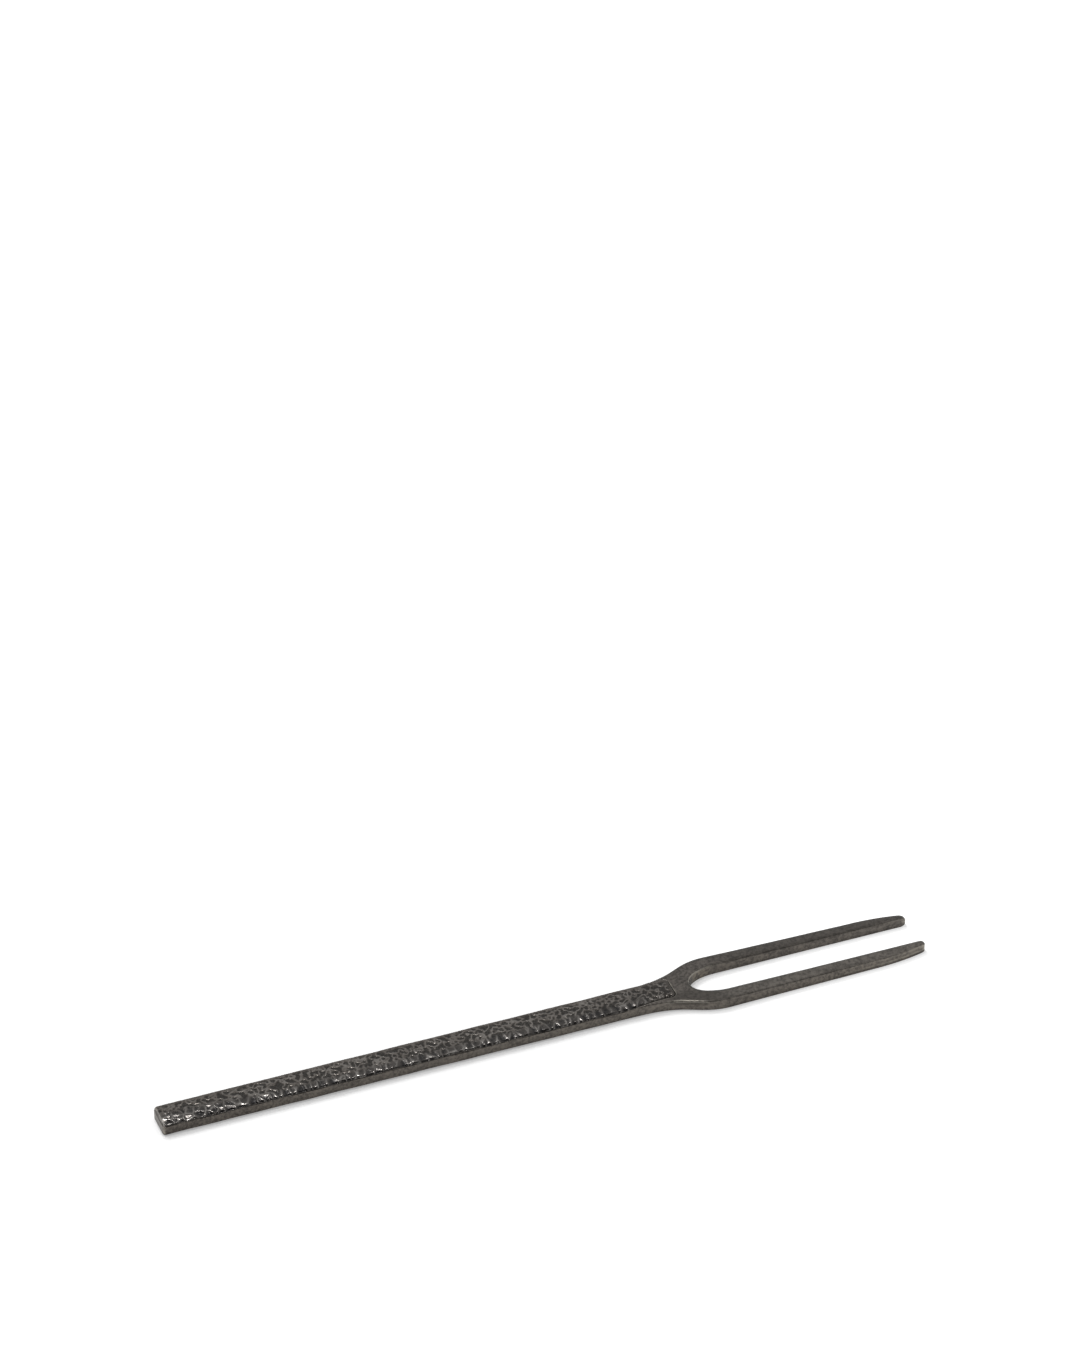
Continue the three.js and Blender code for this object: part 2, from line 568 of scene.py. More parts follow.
@dataclass(frozen=True)
class BlackMetal:
    """What the fork's finishes share: a metal shader with the fine bump of its grain."""

    name: str = "black_metal"
    metallic: float = 1.0
    bump_depth: float = 0.02 * MM
    bump_strength: float = 0.35

    def blank(self) -> tuple[bpy.types.Material, NodeBench, Socket]:
        """Starts the material.

        Returns:
            The material, a bench on its tree, and a socket with object coordinates.
        """
        material = bpy.data.materials.new(self.name)
        material.use_nodes = True
        bench = NodeBench(material.node_tree)
        return material, bench, bench.add("ShaderNodeTexCoord").outputs["Object"]

    def coat(self, bench: NodeBench, colour: Socket, rough: Socket, grain: Socket) -> None:
        """Wires the metal's shader.

        Args:
            bench: The material's bench.
            colour: The metal's colour.
            rough: Its roughness.
            grain: Its grain, which also gives the bump.
        """
        shader = bench.tree.nodes["Principled BSDF"]
        shader.inputs["Metallic"].default_value = self.metallic
        bench.feed(shader.inputs["Base Color"], colour)
        bench.feed(shader.inputs["Roughness"], rough)
        sockets = {"Strength": self.bump_strength, "Distance": self.bump_depth, "Height": grain}
        bench.feed(shader.inputs["Normal"], bench.add("ShaderNodeBump", sockets).outputs["Normal"])


@dataclass(frozen=True)
class SatinBlack(BlackMetal):
    """Blackened satin metal with a fine grain, worn tan towards the tips, with painted highlights and some
    wear along edges, and painted shade along some edges and faces.
    """

    name: str = "satin_black_metal"
    deep: Colour = (0.052, 0.047, 0.043)
    plain: Colour = (0.128, 0.1155, 0.104)
    # Colour of the painted highlights, partly edge wear.
    rubbed: Colour = (0.34, 0.32, 0.28)
    tan: Colour = (0.23, 0.20, 0.16)
    # Colour of the painted shade.
    crease: Colour = (0.045, 0.041, 0.036)
    roughness: Pair = (0.36, 0.52)
    rub_gloss: float = 0.16
    fine: Grain = Grain(3600.0, 2.0, 0.6, 0.25)
    speckle: Grain = Grain(1300.0, 2.0, 0.55, 0.55)
    mottle: Grain = Grain(330.0, 3.0, 0.55, 0.2)
    shade_reach: Pair = (0.36, 0.64)
    rub_reach: Pair = (0.38, 0.6)
    rub_strength: Pair = (0.6, 1.0)
    wear_reach: Pair = (0.40, 0.64)
    wear_strength: Pair = (0.15, 0.85)
    gloss_reach: Pair = (0.35, 0.65)

    def colour(self, bench: NodeBench, place: object) -> tuple[Socket, Socket]:
        """The plain metal's colour, without painted highlights, worn places or painted shade.

        Args:
            bench: Where the nodes are added.
            place: Coordinates that the grain follows.

        Returns:
            Sockets with the colour and with the grain that it comes from, about 0.5 on average.
        """
        grain = bench.product(self.speckle.build(bench, place), self.speckle.weight)
        for layer in (self.fine, self.mottle):
            grain = bench.math("MULTIPLY_ADD", layer.build(bench, place), layer.weight, grain)
        shade = bench.spread(grain, self.shade_reach, UNIT)
        return bench.blend(shade, opaque(self.deep), opaque(self.plain)), grain

    def build(self) -> bpy.types.Material:
        """Builds the material.

        Returns:
            The new material.
        """
        material, bench, place = self.blank()
        metal, grain = self.colour(bench, place)
        rub, tip, crease = (bench.mark(mark) for mark in (Mark.RUB, Mark.TIP, Mark.CREASE))
        patchy = bench.spread(grain, self.rub_reach, self.rub_strength)
        # Painted highlights on edges and walls, with some edge wear.
        metal = bench.blend(bench.product(rub, patchy), metal, opaque(self.rubbed))
        worn = bench.product(tip, bench.spread(grain, self.wear_reach, self.wear_strength))
        metal = bench.blend(worn, metal, opaque(self.tan))
        # Painted shade.
        metal = bench.blend(crease, metal, opaque(self.crease))
        rough = bench.spread(grain, self.gloss_reach, self.roughness)
        self.coat(bench, metal, bench.math("MULTIPLY_ADD", rub, -self.rub_gloss, rough), grain)
        return material


@dataclass(frozen=True)
class HammeredBlack(BlackMetal):
    """Blackened metal covered in small dimples: dark in the hollows from patina and painted shade, bright on
    the ridges from rubbing and painted glints, with a painted highlight at the butt and painted shade in the
    crease.
    """

    name: str = "hammered_black_metal"
    bump_depth: float = 0.015 * MM
    bump_strength: float = 0.3
    satin: SatinBlack = SatinBlack()
    # Hollows are darker than slopes from patina and painted shade, and both are darker near the near edge.
    near_hollow: Colour = (0.022, 0.0213, 0.0215)
    near_slope: Colour = (0.062, 0.0575, 0.054)
    flat_hollow: Colour = (0.031, 0.0285, 0.026)
    flat_slope: Colour = (0.100, 0.089, 0.079)
    # Colour of the ridges: rubbed wear and painted glints.
    ridge: Colour = (0.29, 0.276, 0.26)
    # Colour of the painted highlight at the butt's rim and its painted glint at the near corner.
    rim: Colour = (0.6, 0.57, 0.53)
    # Colour of the painted shade in the crease and at the strip's end.
    crease: Colour = (0.030, 0.0275, 0.025)
    roughness: Pair = (0.34, 0.23)
    dulling: float = 0.12
    grain: Grain = Grain(4200.0, 3.0, 0.6, 0.3)
    slope_reach: Pair = (0.25, 0.9)
    rub_reach: Pair = (0.3, 0.6)
    rub_strength: Pair = (0.5, 1.0)
    gloss_reach: Pair = (0.2, 0.9)

    def build(self) -> bpy.types.Material:
        """Builds the material.

        Returns:
            The new material.
        """
        material, bench, place = self.blank()
        grain = self.grain.build(bench, place)
        height, ridge, smooth, crease, rim, edge = (
            bench.mark(mark)
            for mark in (Mark.DIMPLE, Mark.RIDGE, Mark.SMOOTH, Mark.CREASE, Mark.RUB, Mark.EDGE)
        )
        # Darker hollows: patina and painted shade.
        hollow = bench.blend(edge, opaque(self.flat_hollow), opaque(self.near_hollow))
        slope = bench.blend(edge, opaque(self.flat_slope), opaque(self.near_slope))
        centred = bench.math("SUBTRACT", grain, NOISE_MIDDLE)
        uneven = bench.math("MULTIPLY_ADD", centred, self.grain.weight, height)
        metal = bench.blend(bench.spread(uneven, self.slope_reach, UNIT), hollow, slope)
        # Ridges painted bright: rubbed wear and painted glints.
        rubbed = bench.product(ridge, bench.spread(grain, self.rub_reach, self.rub_strength))
        metal = bench.blend(rubbed, metal, opaque(self.ridge))
        plain, _ = self.satin.colour(bench, place)
        metal = bench.blend(smooth, metal, plain)
        # Painted shade in the crease and at the strip's end, then the painted highlight at the butt.
        metal = bench.blend(crease, metal, opaque(self.crease))
        metal = bench.blend(rim, metal, opaque(self.rim))
        dull = bench.math("MAXIMUM", smooth, crease)
        gloss = bench.spread(uneven, self.gloss_reach, self.roughness)
        self.coat(bench, metal, bench.math("MULTIPLY_ADD", dull, self.dulling, gloss), grain)
        return material


@dataclass(frozen=True)
class ForkBody:
    """The flat bar with its head and tines: rounded edges, thinning tines and the strip's seat."""

    plan: ForkPlan
    thickness: float
    seat: float
    tip_thickness: float = 2.6 * MM
    top_round: float = 0.28 * MM
    seat_round: float = 0.06 * MM
    seat_margin: float = 0.1 * MM
    bottom_round: float = 0.28 * MM
    tine_bottom_round: float = 0.08 * MM
    bluntness: float = 0.6
    slot_lip: float = 0.45 * MM
    closed_sides: Pair = (0.95, 1.1)
    closed_fade: Pair = (1 * MM, 5 * MM)
    nose_rounds: Pair = (0.2 * MM, 0.45 * MM)
    nose_reach: float = 1.5 * MM
    near_nose_falls: Pair = (0.12 * MM, 0.15 * MM)
    far_nose_falls: Pair = (0.85 * MM, 0.55 * MM)
    bevel_start: Pair = (-4 * MM, -1.5 * MM)
    bevel_stop: Pair = (0.0, 2.5 * MM)
    bevel_widths: Pair = (0.58 * MM, 0.42 * MM)
    bevel_narrowed: float = 1 * MM
    bevel_slope: float = 0.66
    rim_round: float = 0.25 * MM
    rim_wall: float = 0.05 * MM
    rim_rings: tuple[float, ...] = (-1.4, -1.0, -0.6, -0.2, 0.0, 1.0, 2.2, 3.6, 5.2, 7.0, 9.0)
    tine_fall: float = 0.1 * MM
    edge_shares: tuple[float, ...] = (0, 0.05, 0.16, 0.34, 0.6, 1.0)
    outline_step: float = 0.25 * MM
    ring_crowding: float = 4.0
    fill_step: float = 0.6 * MM
    fill_crowding: float = 3.0
    wall_rings: int = 11
    wall_sink: float = 1.6
    swell: float = 0.018 * MM
    swell_length: float = 7 * MM
    top_swell: float = 0.5

    def top_at(self, points: np.ndarray) -> np.ndarray:
        """Height of the upper face, with the strip's seat and its rim but without the rounded edge.

        Args:
            points: Places seen from above, one per row.

        Returns:
            One height for each place.
        """
        plan = self.plan
        along = np.clip((points[:, 0] - plan.taper_x) / (plan.tip_x - plan.taper_x), 0, 1)
        top = self.thickness - along * (self.thickness - self.tip_thickness)
        across = np.clip((np.abs(points[:, 1]) - plan.slot_half) / plan.tine_root_width, 0, 1)
        falling = smooth_step(plan.slot_x, plan.taper_x + plan.slot_end_length, points[:, 0])
        top = top - self.tine_fall * across * falling
        uneven = wander(points, self.swell_length, Seed.TOP_SWELL) * self.top_swell - 1
        top = top + self.swell * uneven - self.nose_falls(points)[0]
        out = plan.pocket_distance(points)
        rounded = np.clip(out / self.rim_round, 0, 1)
        shoulder = top - self.rim_round * (1 - np.sqrt(1 - (1 - rounded) ** 2))
        wall = np.clip(1 + out / self.rim_wall, 0, 1)
        return self.seat + wall * (shoulder - self.seat)

    def nose(self, points: np.ndarray) -> np.ndarray:
        """How near each place is to the end of a tine, from 0 to 1."""
        return np.clip(1 - (self.plan.tip_x - points[:, 0]) / self.nose_reach, 0, 1)

    def nose_falls(self, points: np.ndarray) -> tuple[np.ndarray, np.ndarray]:
        """How far the upper and the lower face round off towards the end of each tine.

        Args:
            points: Places seen from above, one per row.

        Returns:
            Falls of the upper face and rises of the lower face, one for each place.
        """
        bend = 1 - np.sqrt(1 - self.nose(points) ** 2)
        near = points[:, 1] < 0
        upper, lower = (
            np.where(near, near_fall, far_fall) * bend
            for near_fall, far_fall in zip(self.near_nose_falls, self.far_nose_falls)
        )
        return upper, lower

    def nose_round(self, points: np.ndarray) -> np.ndarray:
        """Radius of the edges at the end of each tine."""
        return np.where(points[:, 1] < 0, *self.nose_rounds)

    def bevel(self, points: np.ndarray) -> np.ndarray:
        """Where the near edge is a narrow bevel, from the strip's end to the shoulder.

        Args:
            points: Places seen from above, one per row.

        Returns:
            1 on the bevel and 0 off it, one value for each place.
        """
        starts = ramp(points[:, 0], self.plan.strip_end_x, self.bevel_start)
        ends = ramp(points[:, 0], self.plan.slot_x, self.bevel_stop)
        return starts * (1 - ends) * (points[:, 1] < -self.plan.slot_half / 2)

    def bevel_width(self, points: np.ndarray) -> np.ndarray:
        """Width of the bevel, which narrows from the strip's end to the shoulder."""
        share = smooth_step(self.plan.strip_end_x, self.plan.slot_x + self.bevel_narrowed, points[:, 0])
        return self.bevel_widths[0] + share * (self.bevel_widths[1] - self.bevel_widths[0])

    @property
    def lip_start(self) -> float:
        """Where the lip at the slot's closed end starts, measured from the slot's end."""
        return -2 * self.slot_lip

    def closed_end(self, points: np.ndarray) -> np.ndarray:
        """Which places lie round the closed end of the slot.

        Args:
            points: Places seen from above, one per row.

        Returns:
            1 at the closed end, fading to 0 where the slot's sides become straight.
        """
        low, high = (share * self.plan.slot_half for share in self.closed_sides)
        within = 1 - smooth_step(low, high, np.abs(points[:, 1]))
        along = points[:, 0] - self.plan.slot_x
        return within * (along > self.lip_start) * (1 - smooth_step(*self.closed_fade, along))

    def top_radius(self, outline: np.ndarray) -> np.ndarray:
        """Radius of the upper edge: small beside the strip, larger round the head, largest at the tips.

        Args:
            outline: The outline, one point per row.

        Returns:
            One radius for each point.
        """
        share = smooth_step(self.seat, self.thickness - self.seat_margin, self.top_at(outline))
        radius = self.seat_round + share * (self.top_round - self.seat_round)
        tuck = self.plan.tuck(outline[:, 0], outline[:, 1])
        radius = np.where(tuck > 0, np.minimum(radius, self.seat_round + tuck / 2), radius)
        radius = radius + self.closed_end(outline) * (self.slot_lip - radius)
        radius = radius + self.bevel(outline) * (self.bevel_width(outline) - radius)
        return radius + self.nose(outline) * (self.nose_round(outline) - radius)

    def low_radius(self, outline: np.ndarray) -> np.ndarray:
        """Radius of the lower edge: smaller along the tines, larger at the tips.

        Args:
            outline: The outline, one point per row.

        Returns:
            One radius for each point.
        """
        tines = smooth_step(self.plan.slot_x, self.plan.taper_x, outline[:, 0])
        radius = self.bottom_round + tines * (self.tine_bottom_round - self.bottom_round)
        return radius + self.nose(outline) * (self.nose_round(outline) - radius)

    def drop(self, share: float, depth: np.ndarray) -> np.ndarray:
        """How far a blunted edge falls below its face at a share of its width from the outline."""
        reach = 1 - share
        return depth * (self.bluntness * reach + (1 - self.bluntness) * (1 - math.sqrt(1 - reach**2)))

    @staticmethod
    def outward(outline: np.ndarray) -> np.ndarray:
        """Directions of unit length that point out of an anticlockwise outline.

        Args:
            outline: The outline, one point per row.

        Returns:
            One direction for each point.
        """
        tangent = np.roll(outline, -1, axis=0) - np.roll(outline, 1, axis=0)
        tangent /= np.linalg.norm(tangent, axis=1)[:, None]
        return np.column_stack((tangent[:, 1], -tangent[:, 0]))

    def rim_points(self) -> np.ndarray:
        """Points in rings along the wall of the strip's pocket, where the upper face turns sharply.

        Returns:
            An array of points, one per row.
        """
        plan = self.plan
        rows = []
        for out in np.array(self.rim_rings) * self.rim_wall:
            corner = plan.strip_corner + plan.seat_clearance + out
            end = plan.strip_end_x + plan.seat_clearance + out
            for side, start in ((1, plan.neck_x), (-1, plan.neck_x - plan.tuck_lead)):
                xs = np.append(np.arange(start, end - corner, self.outline_step), end - corner)
                half = plan.handle_half(xs) - plan.tuck(xs, np.full(len(xs), side))
                half += plan.seat_clearance - plan.strip_inset + out
                last = float(half[-1]) - corner
                bend = ellipse_arc((end - corner, last), (corner, corner), math.pi / 2, 0, self.outline_step)
                middle = straight((end, last), (end, 0), self.outline_step)
                rows.append(np.concatenate((np.column_stack((xs, half))[:-1], bend, middle)) * (1, side))
        return np.concatenate(rows)

    def fill(self, outline: np.ndarray, clear: float, fixed: np.ndarray) -> np.ndarray:
        """Grid points that fill the inside of the outline.

        Args:
            outline: The outline.
            clear: Least distance from the outline.
            fixed: Points that the grid keeps off.

        Returns:
            The grid points, one per row.
        """
        gap = self.fill_step / self.fill_crowding
        low, high = outline.min(axis=0), outline.max(axis=0)
        xs = np.arange(low[0], high[0], self.fill_step)
        ys = np.arange(-high[1], high[1], self.fill_step)
        grid = np.stack(np.meshgrid(xs, ys, indexing="ij"), axis=-1).reshape(-1, 2)
        grid = grid[inside(outline, grid)]
        grid = grid[distance_to(outline, grid) > clear + gap]
        return grid[distance_to(fixed, grid) > gap] if len(fixed) else grid

    def face(
        self, outline: np.ndarray, radius: np.ndarray, depth: np.ndarray, extra: np.ndarray
    ) -> tuple[np.ndarray, np.ndarray, np.ndarray, Triangles]:
        """A triangulated face over the whole plan, with rings of points on its rounded edge.

        Args:
            outline: The outline, anticlockwise.
            radius: Width of the edge at each point of the outline.
            depth: How far the edge falls at each point of the outline.
            extra: Further points that the face has to pass through.

        Returns:
            Points seen from above, with the outline's first, how far the edge has dropped at each, how near
            each is to the outline (1 on it, 0 inside the rounded edge), and the triangles.
        """
        shares = self.edge_shares
        inward = -self.outward(outline) * radius[:, None]
        ring = np.concatenate([outline + share * inward for share in shares])
        if len(extra):
            extra = extra[inside(outline, extra)]
            extra = extra[distance_to(ring, extra) > self.outline_step / self.ring_crowding]
        grid = self.fill(outline, float(radius.max()), extra)
        points = np.concatenate((ring, extra.reshape(-1, 2), grid))
        inner = np.zeros(len(points) - len(ring))
        drop = np.concatenate((*(self.drop(share, depth) for share in shares), inner))
        near = np.concatenate((1 - np.repeat(shares, len(outline)), inner))
        loop = list(range(len(outline)))
        scaled = [Vector(p) for p in points / MM]
        verts, _, tris, origins, _, _ = delaunay_2d_cdt(scaled, [], [loop], TRIANGLES_INSIDE, WELD_MM)
        source = np.array([o[0] for o in origins])
        assert len(verts) == len(points)
        return points, drop, near, [[int(source[i]) for i in tri] for tri in tris]

    def walls(self, outline: np.ndarray, level: np.ndarray, top: np.ndarray, low: np.ndarray) -> np.ndarray:
        """Rings of points down the walls, which swell a little as hand-finished metal does.

        Args:
            outline: The outline, anticlockwise.
            level: How far down the wall each ring is, from 0 to 1.
            top: Height of the upper edge at each point of the outline.
            low: Height of the lower edge at each point of the outline.

        Returns:
            The points of all the rings, one per row.
        """
        outward = self.outward(outline)
        rings = []
        for share in level:
            height = top + share * (low - top)
            places = np.column_stack((outline, height))
            hollow = self.swell * (wander(places, self.swell_length / 2, Seed.WALL_SWELL) - self.wall_sink)
            rings.append(np.column_stack((outline + hollow[:, None] * outward, height)))
        return np.concatenate(rings)

    def build(self, finish: SatinBlack, wear: "BodyWearAndPaintedLight") -> bpy.types.Object:
        """Builds the body and gives it its finish.

        Args:
            finish: The body's finish.
            wear: Where its metal has painted highlights and painted shade, and where it is worn.

        Returns:
            The finished object.
        """
        outline = self.plan.outline(self.outline_step)
        around = len(outline)
        top_radius, low_radius = self.top_radius(outline), self.low_radius(outline)
        top_depth = top_radius * (1 - (1 - self.bevel_slope) * self.bevel(outline))
        top, top_drop, top_near, top_faces = self.face(outline, top_radius, top_depth, self.rim_points())
        low, low_drop, low_near, low_faces = self.face(outline, low_radius, low_radius, np.empty((0, 2)))
        top_z = self.top_at(top) - top_drop
        low_z = low_drop + self.nose_falls(low)[1]
        level = np.arange(1, self.wall_rings + 1) / (self.wall_rings + 1)
        walls = self.walls(outline, level, top_z[:around], low_z[:around])
        points = np.concatenate((np.column_stack((top, top_z)), walls, np.column_stack((low, low_z))))

        low_start = len(top) + len(walls)
        starts = (0, *range(len(top), low_start + 1, around))
        loops = [start + np.arange(around) for start in starts]
        faces = list(top_faces)
        for higher, lower in zip(loops, loops[1:]):
            faces += np.column_stack((higher, lower, np.roll(lower, -1), np.roll(higher, -1))).tolist()
        faces += [[low_start + i for i in reversed(tri)] for tri in low_faces]

        level = np.repeat(level, around)
        wall = np.tile(outline, (self.wall_rings, 1))
        near = np.concatenate((wear.top_wear * top_near, np.ones(len(wall)), low_near))
        # Painted highlights, with some edge wear, and painted shade on the upper face and the walls.
        rub = (wear.rub(top, top_near), wear.wall_rub(wall, level), np.zeros(len(low)))
        dark = (wear.dark_edge(top, top_near, around), wear.wall_dark(wall, level), np.zeros(len(low)))
        marks = {
            Mark.RUB: np.concatenate(rub),
            Mark.TIP: wear.tip_rub(points) * near,
            Mark.CREASE: np.concatenate(dark),
        }
        mesh = make_mesh("fork_body_satin", points, faces, marks)
        made = add_object("fork_body_satin", mesh)
        mesh.materials.append(finish.build())
        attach(made, BODY_NAME)
        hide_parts(Node.BODY.value)
        return made


@dataclass(frozen=True)
class BodyWearAndPaintedLight:
    """Where the body has painted highlights and painted shade, and where its metal is worn bright at the tips
    and butt or worn tan.

    A pair of lengths says where a change starts and ends, measured from the butt, the strip's end, the slot's
    end or the middle line. Levels run from 0 at the upper edge of a wall to 1 at its foot.
    """

    body: ForkBody
    # Painted highlights on the upper edge, with some wear at the tips and the butt.
    plain_rub: float = 0.08
    end_rub: float = 0.6
    neck_reach: Pair = (-5 * MM, 0.0)
    slot_rub_start: float = 1.5 * MM
    tip_edge_reach: float = 10 * MM
    butt_edge: Pair = (0.2 * MM, 0.8 * MM)
    shoulder_fade: Pair = (-0.5 * MM, 2.5 * MM)
    blunt_reach: Pair = (0.08, 0.5)
    bevel_rub: float = 0.6
    lip_rub: float = 0.65
    lip_line: Pair = (0.5, 0.25)
    lip_reach: Pair = (4 * MM, 13 * MM)
    rim_rub: float = 0.5
    rim_fade: Pair = (0.8, 1.7)
    far_rim: float = 0.25
    far_rim_reach: Pair = (1.5 * MM, 3 * MM)
    # The near tine's top is painted lighter, as the light falls on it.
    near_tine_rub: float = 0.105
    # Painted shade on and beside the upper edges, at the head's root and on the far tine's top.
    edge_dark: float = 0.4
    edge_dark_reach: Pair = (0.0, 0.3)
    near_edge_dark: float = 0.4
    tine_dark_start: float = 8 * MM
    tine_dark_full: float = 7 * MM
    bare_tip: float = 2 * MM
    flank_dark: float = 0.6
    flank_start: Pair = (-1 * MM, 2 * MM)
    far_tine_dark: float = 0.33
    root_dark: float = 0.5
    root_start: Pair = (-6 * MM, 0.0)
    root_stop: Pair = (3 * MM, 10 * MM)
    root_side: Pair = (1 * MM, 3.5 * MM)
    # Walls painted lighter towards the head, with painted highlight lines near the tips, at the butt's
    # corner, at the noses and at the shoulder.
    wall_rubs: Pair = (0.0, 0.11)
    head_wall_rub: float = 0.02
    head_lead: float = 4 * MM
    tip_line: float = 0.62
    tip_line_reach: float = 34 * MM
    low_line: Pair = (0.64, 0.1)
    high_line: Pair = (0.15, 0.12)
    high_line_share: float = 0.5
    inner_line: Pair = (0.4, 0.15)
    inner_line_share: float = 0.15
    butt_rub: float = 0.22
    butt_wall_start: float = 0.3 * MM
    corner_place: float = 0.3
    corner_reach: float = 0.35 * MM
    corner_wear: float = 3.2
    nose_rubs: Pair = (0.8, 0.6)
    near_nose_levels: Pair = (0.45, 0.75)
    shoulder_rub: float = 0.06
    shoulder_lead: float = 1 * MM
    shoulder_stop: float = 4 * MM
    shoulder_levels: Pair = (0.3, 0.6)
    tip_reach: float = 52 * MM
    wall_tan: float = 0.3
    tip_tan: float = 0.5
    inner_tan: float = 0.12
    top_wear: float = 0.4
    # At the slot's closed end the tan wear also paints its far part lighter, and painted shade darkens the
    # rest.
    closed_tan: float = 1.0
    closed_tan_fade: Pair = (4 * MM, 10 * MM)
    closed_turn: Pair = (2.3 * MM, 3.3 * MM)
    closed_dark: float = 0.75
    # Painted shade on the walls: the tines' foot, the near nose and below the bevel.
    foot_dark: float = 0.3
    foot_levels: Pair = (0.6, 0.9)
    nose_dark: float = 0.5
    nose_dark_full: float = 4 * MM
    nose_levels: Pair = (0.72, 0.86)
    under_dark: float = 0.6
    under_start: Pair = (-4 * MM, 0.0)
    under_stop: float = 3 * MM
    under_side: float = 0.7
    under_levels: Pair = (0.3, 0.55)

    def rub(self, top: np.ndarray, near: np.ndarray) -> np.ndarray:
        """How much painted highlight the upper face has, with some wear at the tips and the butt: the edge at
        the neck and slot, the pocket's rim and the near tine's top.

        Args:
            top: The upper face seen from above, one point per row.
            near: How near each point is to the outline.

        Returns:
            One share for each point.
        """
        body, plan = self.body, self.body.plan
        x, y = top.T
        neck = ramp(x, plan.strip_end_x, self.neck_reach)
        tines = smooth_step(plan.slot_x + self.slot_rub_start, plan.taper_x, x)
        tips = smooth_step(plan.tip_x - self.tip_edge_reach, plan.tip_x, x)
        butt = 1 - ramp(x, plan.butt_x, self.butt_edge)
        shoulder = ramp(x, plan.slot_x, self.shoulder_fade)
        fade = np.where(np.abs(y) > plan.slot_half, shoulder, tines)
        place = np.maximum(neck * (1 - fade * (1 - self.plain_rub)), self.end_rub * np.maximum(tips, butt))
        closed = body.closed_end(top)
        lip = hump(near, *self.lip_line)
        blunt = smooth_step(*self.blunt_reach, near) * (1 - (1 - self.bevel_rub) * body.bevel(top))
        edge = (blunt * (1 - closed) + lip * closed) * place
        slot_side = (np.abs(y) < plan.slot_half + body.top_round) & (y > 0) & (x > plan.slot_x)
        along = 1 - smooth_step(*self.lip_reach, x - plan.slot_x)
        edge = np.maximum(edge, self.lip_rub * along * lip * slot_side)
        # Painted highlight on the pocket's rim, weaker on its far side.
        out = plan.pocket_distance(top)
        low, high = (share * body.rim_round for share in self.rim_fade)
        rim = (1 - smooth_step(low, high, out)) * (out > -body.rim_wall)
        rim = rim * (1 - (1 - self.far_rim) * smooth_step(*self.far_rim_reach, y))
        # The near tine's top painted lighter.
        bright = self.near_tine_rub * tines * (y < 0) * (near == 0)
        return np.maximum(edge, np.maximum(self.rim_rub * rim * (near == 0), bright))

    def dark_edge(self, top: np.ndarray, near: np.ndarray, around: int) -> np.ndarray:
        """How much painted shade the upper face has: beside the head's edge, on the blunt edge, at the head's
        root and on the far tine.

        Args:
            top: The upper face seen from above, with its rings of edge points first.
            near: How near each point is to the outline.
            around: How many points a ring has.

        Returns:
            One share for each point.
        """
        plan = self.body.plan
        x, y = top.T
        tines = smooth_step(plan.slot_x + self.tine_dark_start, plan.taper_x + self.tine_dark_full, x)
        tips = smooth_step(plan.tip_x - self.tip_edge_reach, plan.tip_x - self.bare_tip, x)
        edge = self.edge_dark * tines * (1 - tips) * smooth_step(*self.edge_dark_reach, near)
        ring = np.arange(len(top)) // around
        head = ramp(x, plan.strip_end_x, self.flank_start)
        flank = self.flank_dark * head * (1 - tips) * (ring == len(self.body.edge_shares) - 1)
        neck = (x < plan.slot_x) & (y < 0)
        flank = flank * (neck | (np.abs(y) > plan.slot_half))
        beside = np.maximum(edge, flank) * np.where(y < 0, 1 - (1 - self.near_edge_dark) * tines, 1)
        root = ramp(x, plan.strip_end_x, self.root_start) * (1 - ramp(x, plan.slot_x, self.root_stop))
        root = root * smooth_step(*self.root_side, -y) * (near == 0) * (plan.pocket_distance(top) > 0)
        beside = np.maximum(beside, self.root_dark * root)
        # Painted shade on the far tine's whole top.
        return np.maximum(beside, self.far_tine_dark * tines * (y > 0))

    def wall_rub(self, wall: np.ndarray, level: np.ndarray) -> np.ndarray:
        """How much the walls are painted lighter: a little more towards the head, with a painted highlight
        line near the tips and painted highlights at the noses, the shoulder and the butt.

        Args:
            wall: Points of the walls, seen from above.
            level: How far down the wall each of them is, from 0 to 1.

        Returns:
            One share for each point.
        """
        plan = self.body.plan
        x, y = wall.T
        low, high = self.wall_rubs
        plain = low + (high - low) * smooth_step(plan.butt_x, plan.neck_x, x)
        head = smooth_step(plan.neck_x + self.head_lead, plan.slot_x, x)
        plain = plain + head * (self.head_wall_rub - plain)
        near_rub, far_rub = self.nose_rubs
        upper = 1 - smooth_step(*self.near_nose_levels, level)
        plain = plain + self.body.nose(wall) * np.where(y < 0, near_rub * upper, far_rub)
        outer = plan.outer(wall)
        shoulder = smooth_step(plan.strip_end_x + self.shoulder_lead, plan.slot_x, x) * (y < 0) * outer
        shoulder = shoulder * (1 - smooth_step(plan.slot_x + self.shoulder_stop, plan.taper_x, x))
        plain = plain + self.shoulder_rub * shoulder * smooth_step(*self.shoulder_levels, level)
        tips = smooth_step(plan.tip_x - self.tip_line_reach, plan.tip_x, x)
        line = outer * (hump(level, *self.low_line) + self.high_line_share * hump(level, *self.high_line))
        line += self.inner_line_share * (1 - outer) * hump(level, *self.inner_line)
        butt = 1 - smooth_step(plan.butt_x + self.butt_wall_start, plan.butt_x + plan.butt_corner, x)
        inset = self.corner_place * plan.butt_corner
        corner = (plan.butt_x + inset, -plan.butt_width / 2 + inset)
        worn = np.exp(-(((wall - corner) ** 2).sum(axis=1)) / self.corner_reach**2)
        butt = np.maximum(butt, self.corner_wear * worn)
        return plain + self.tip_line * tips * line + self.butt_rub * butt

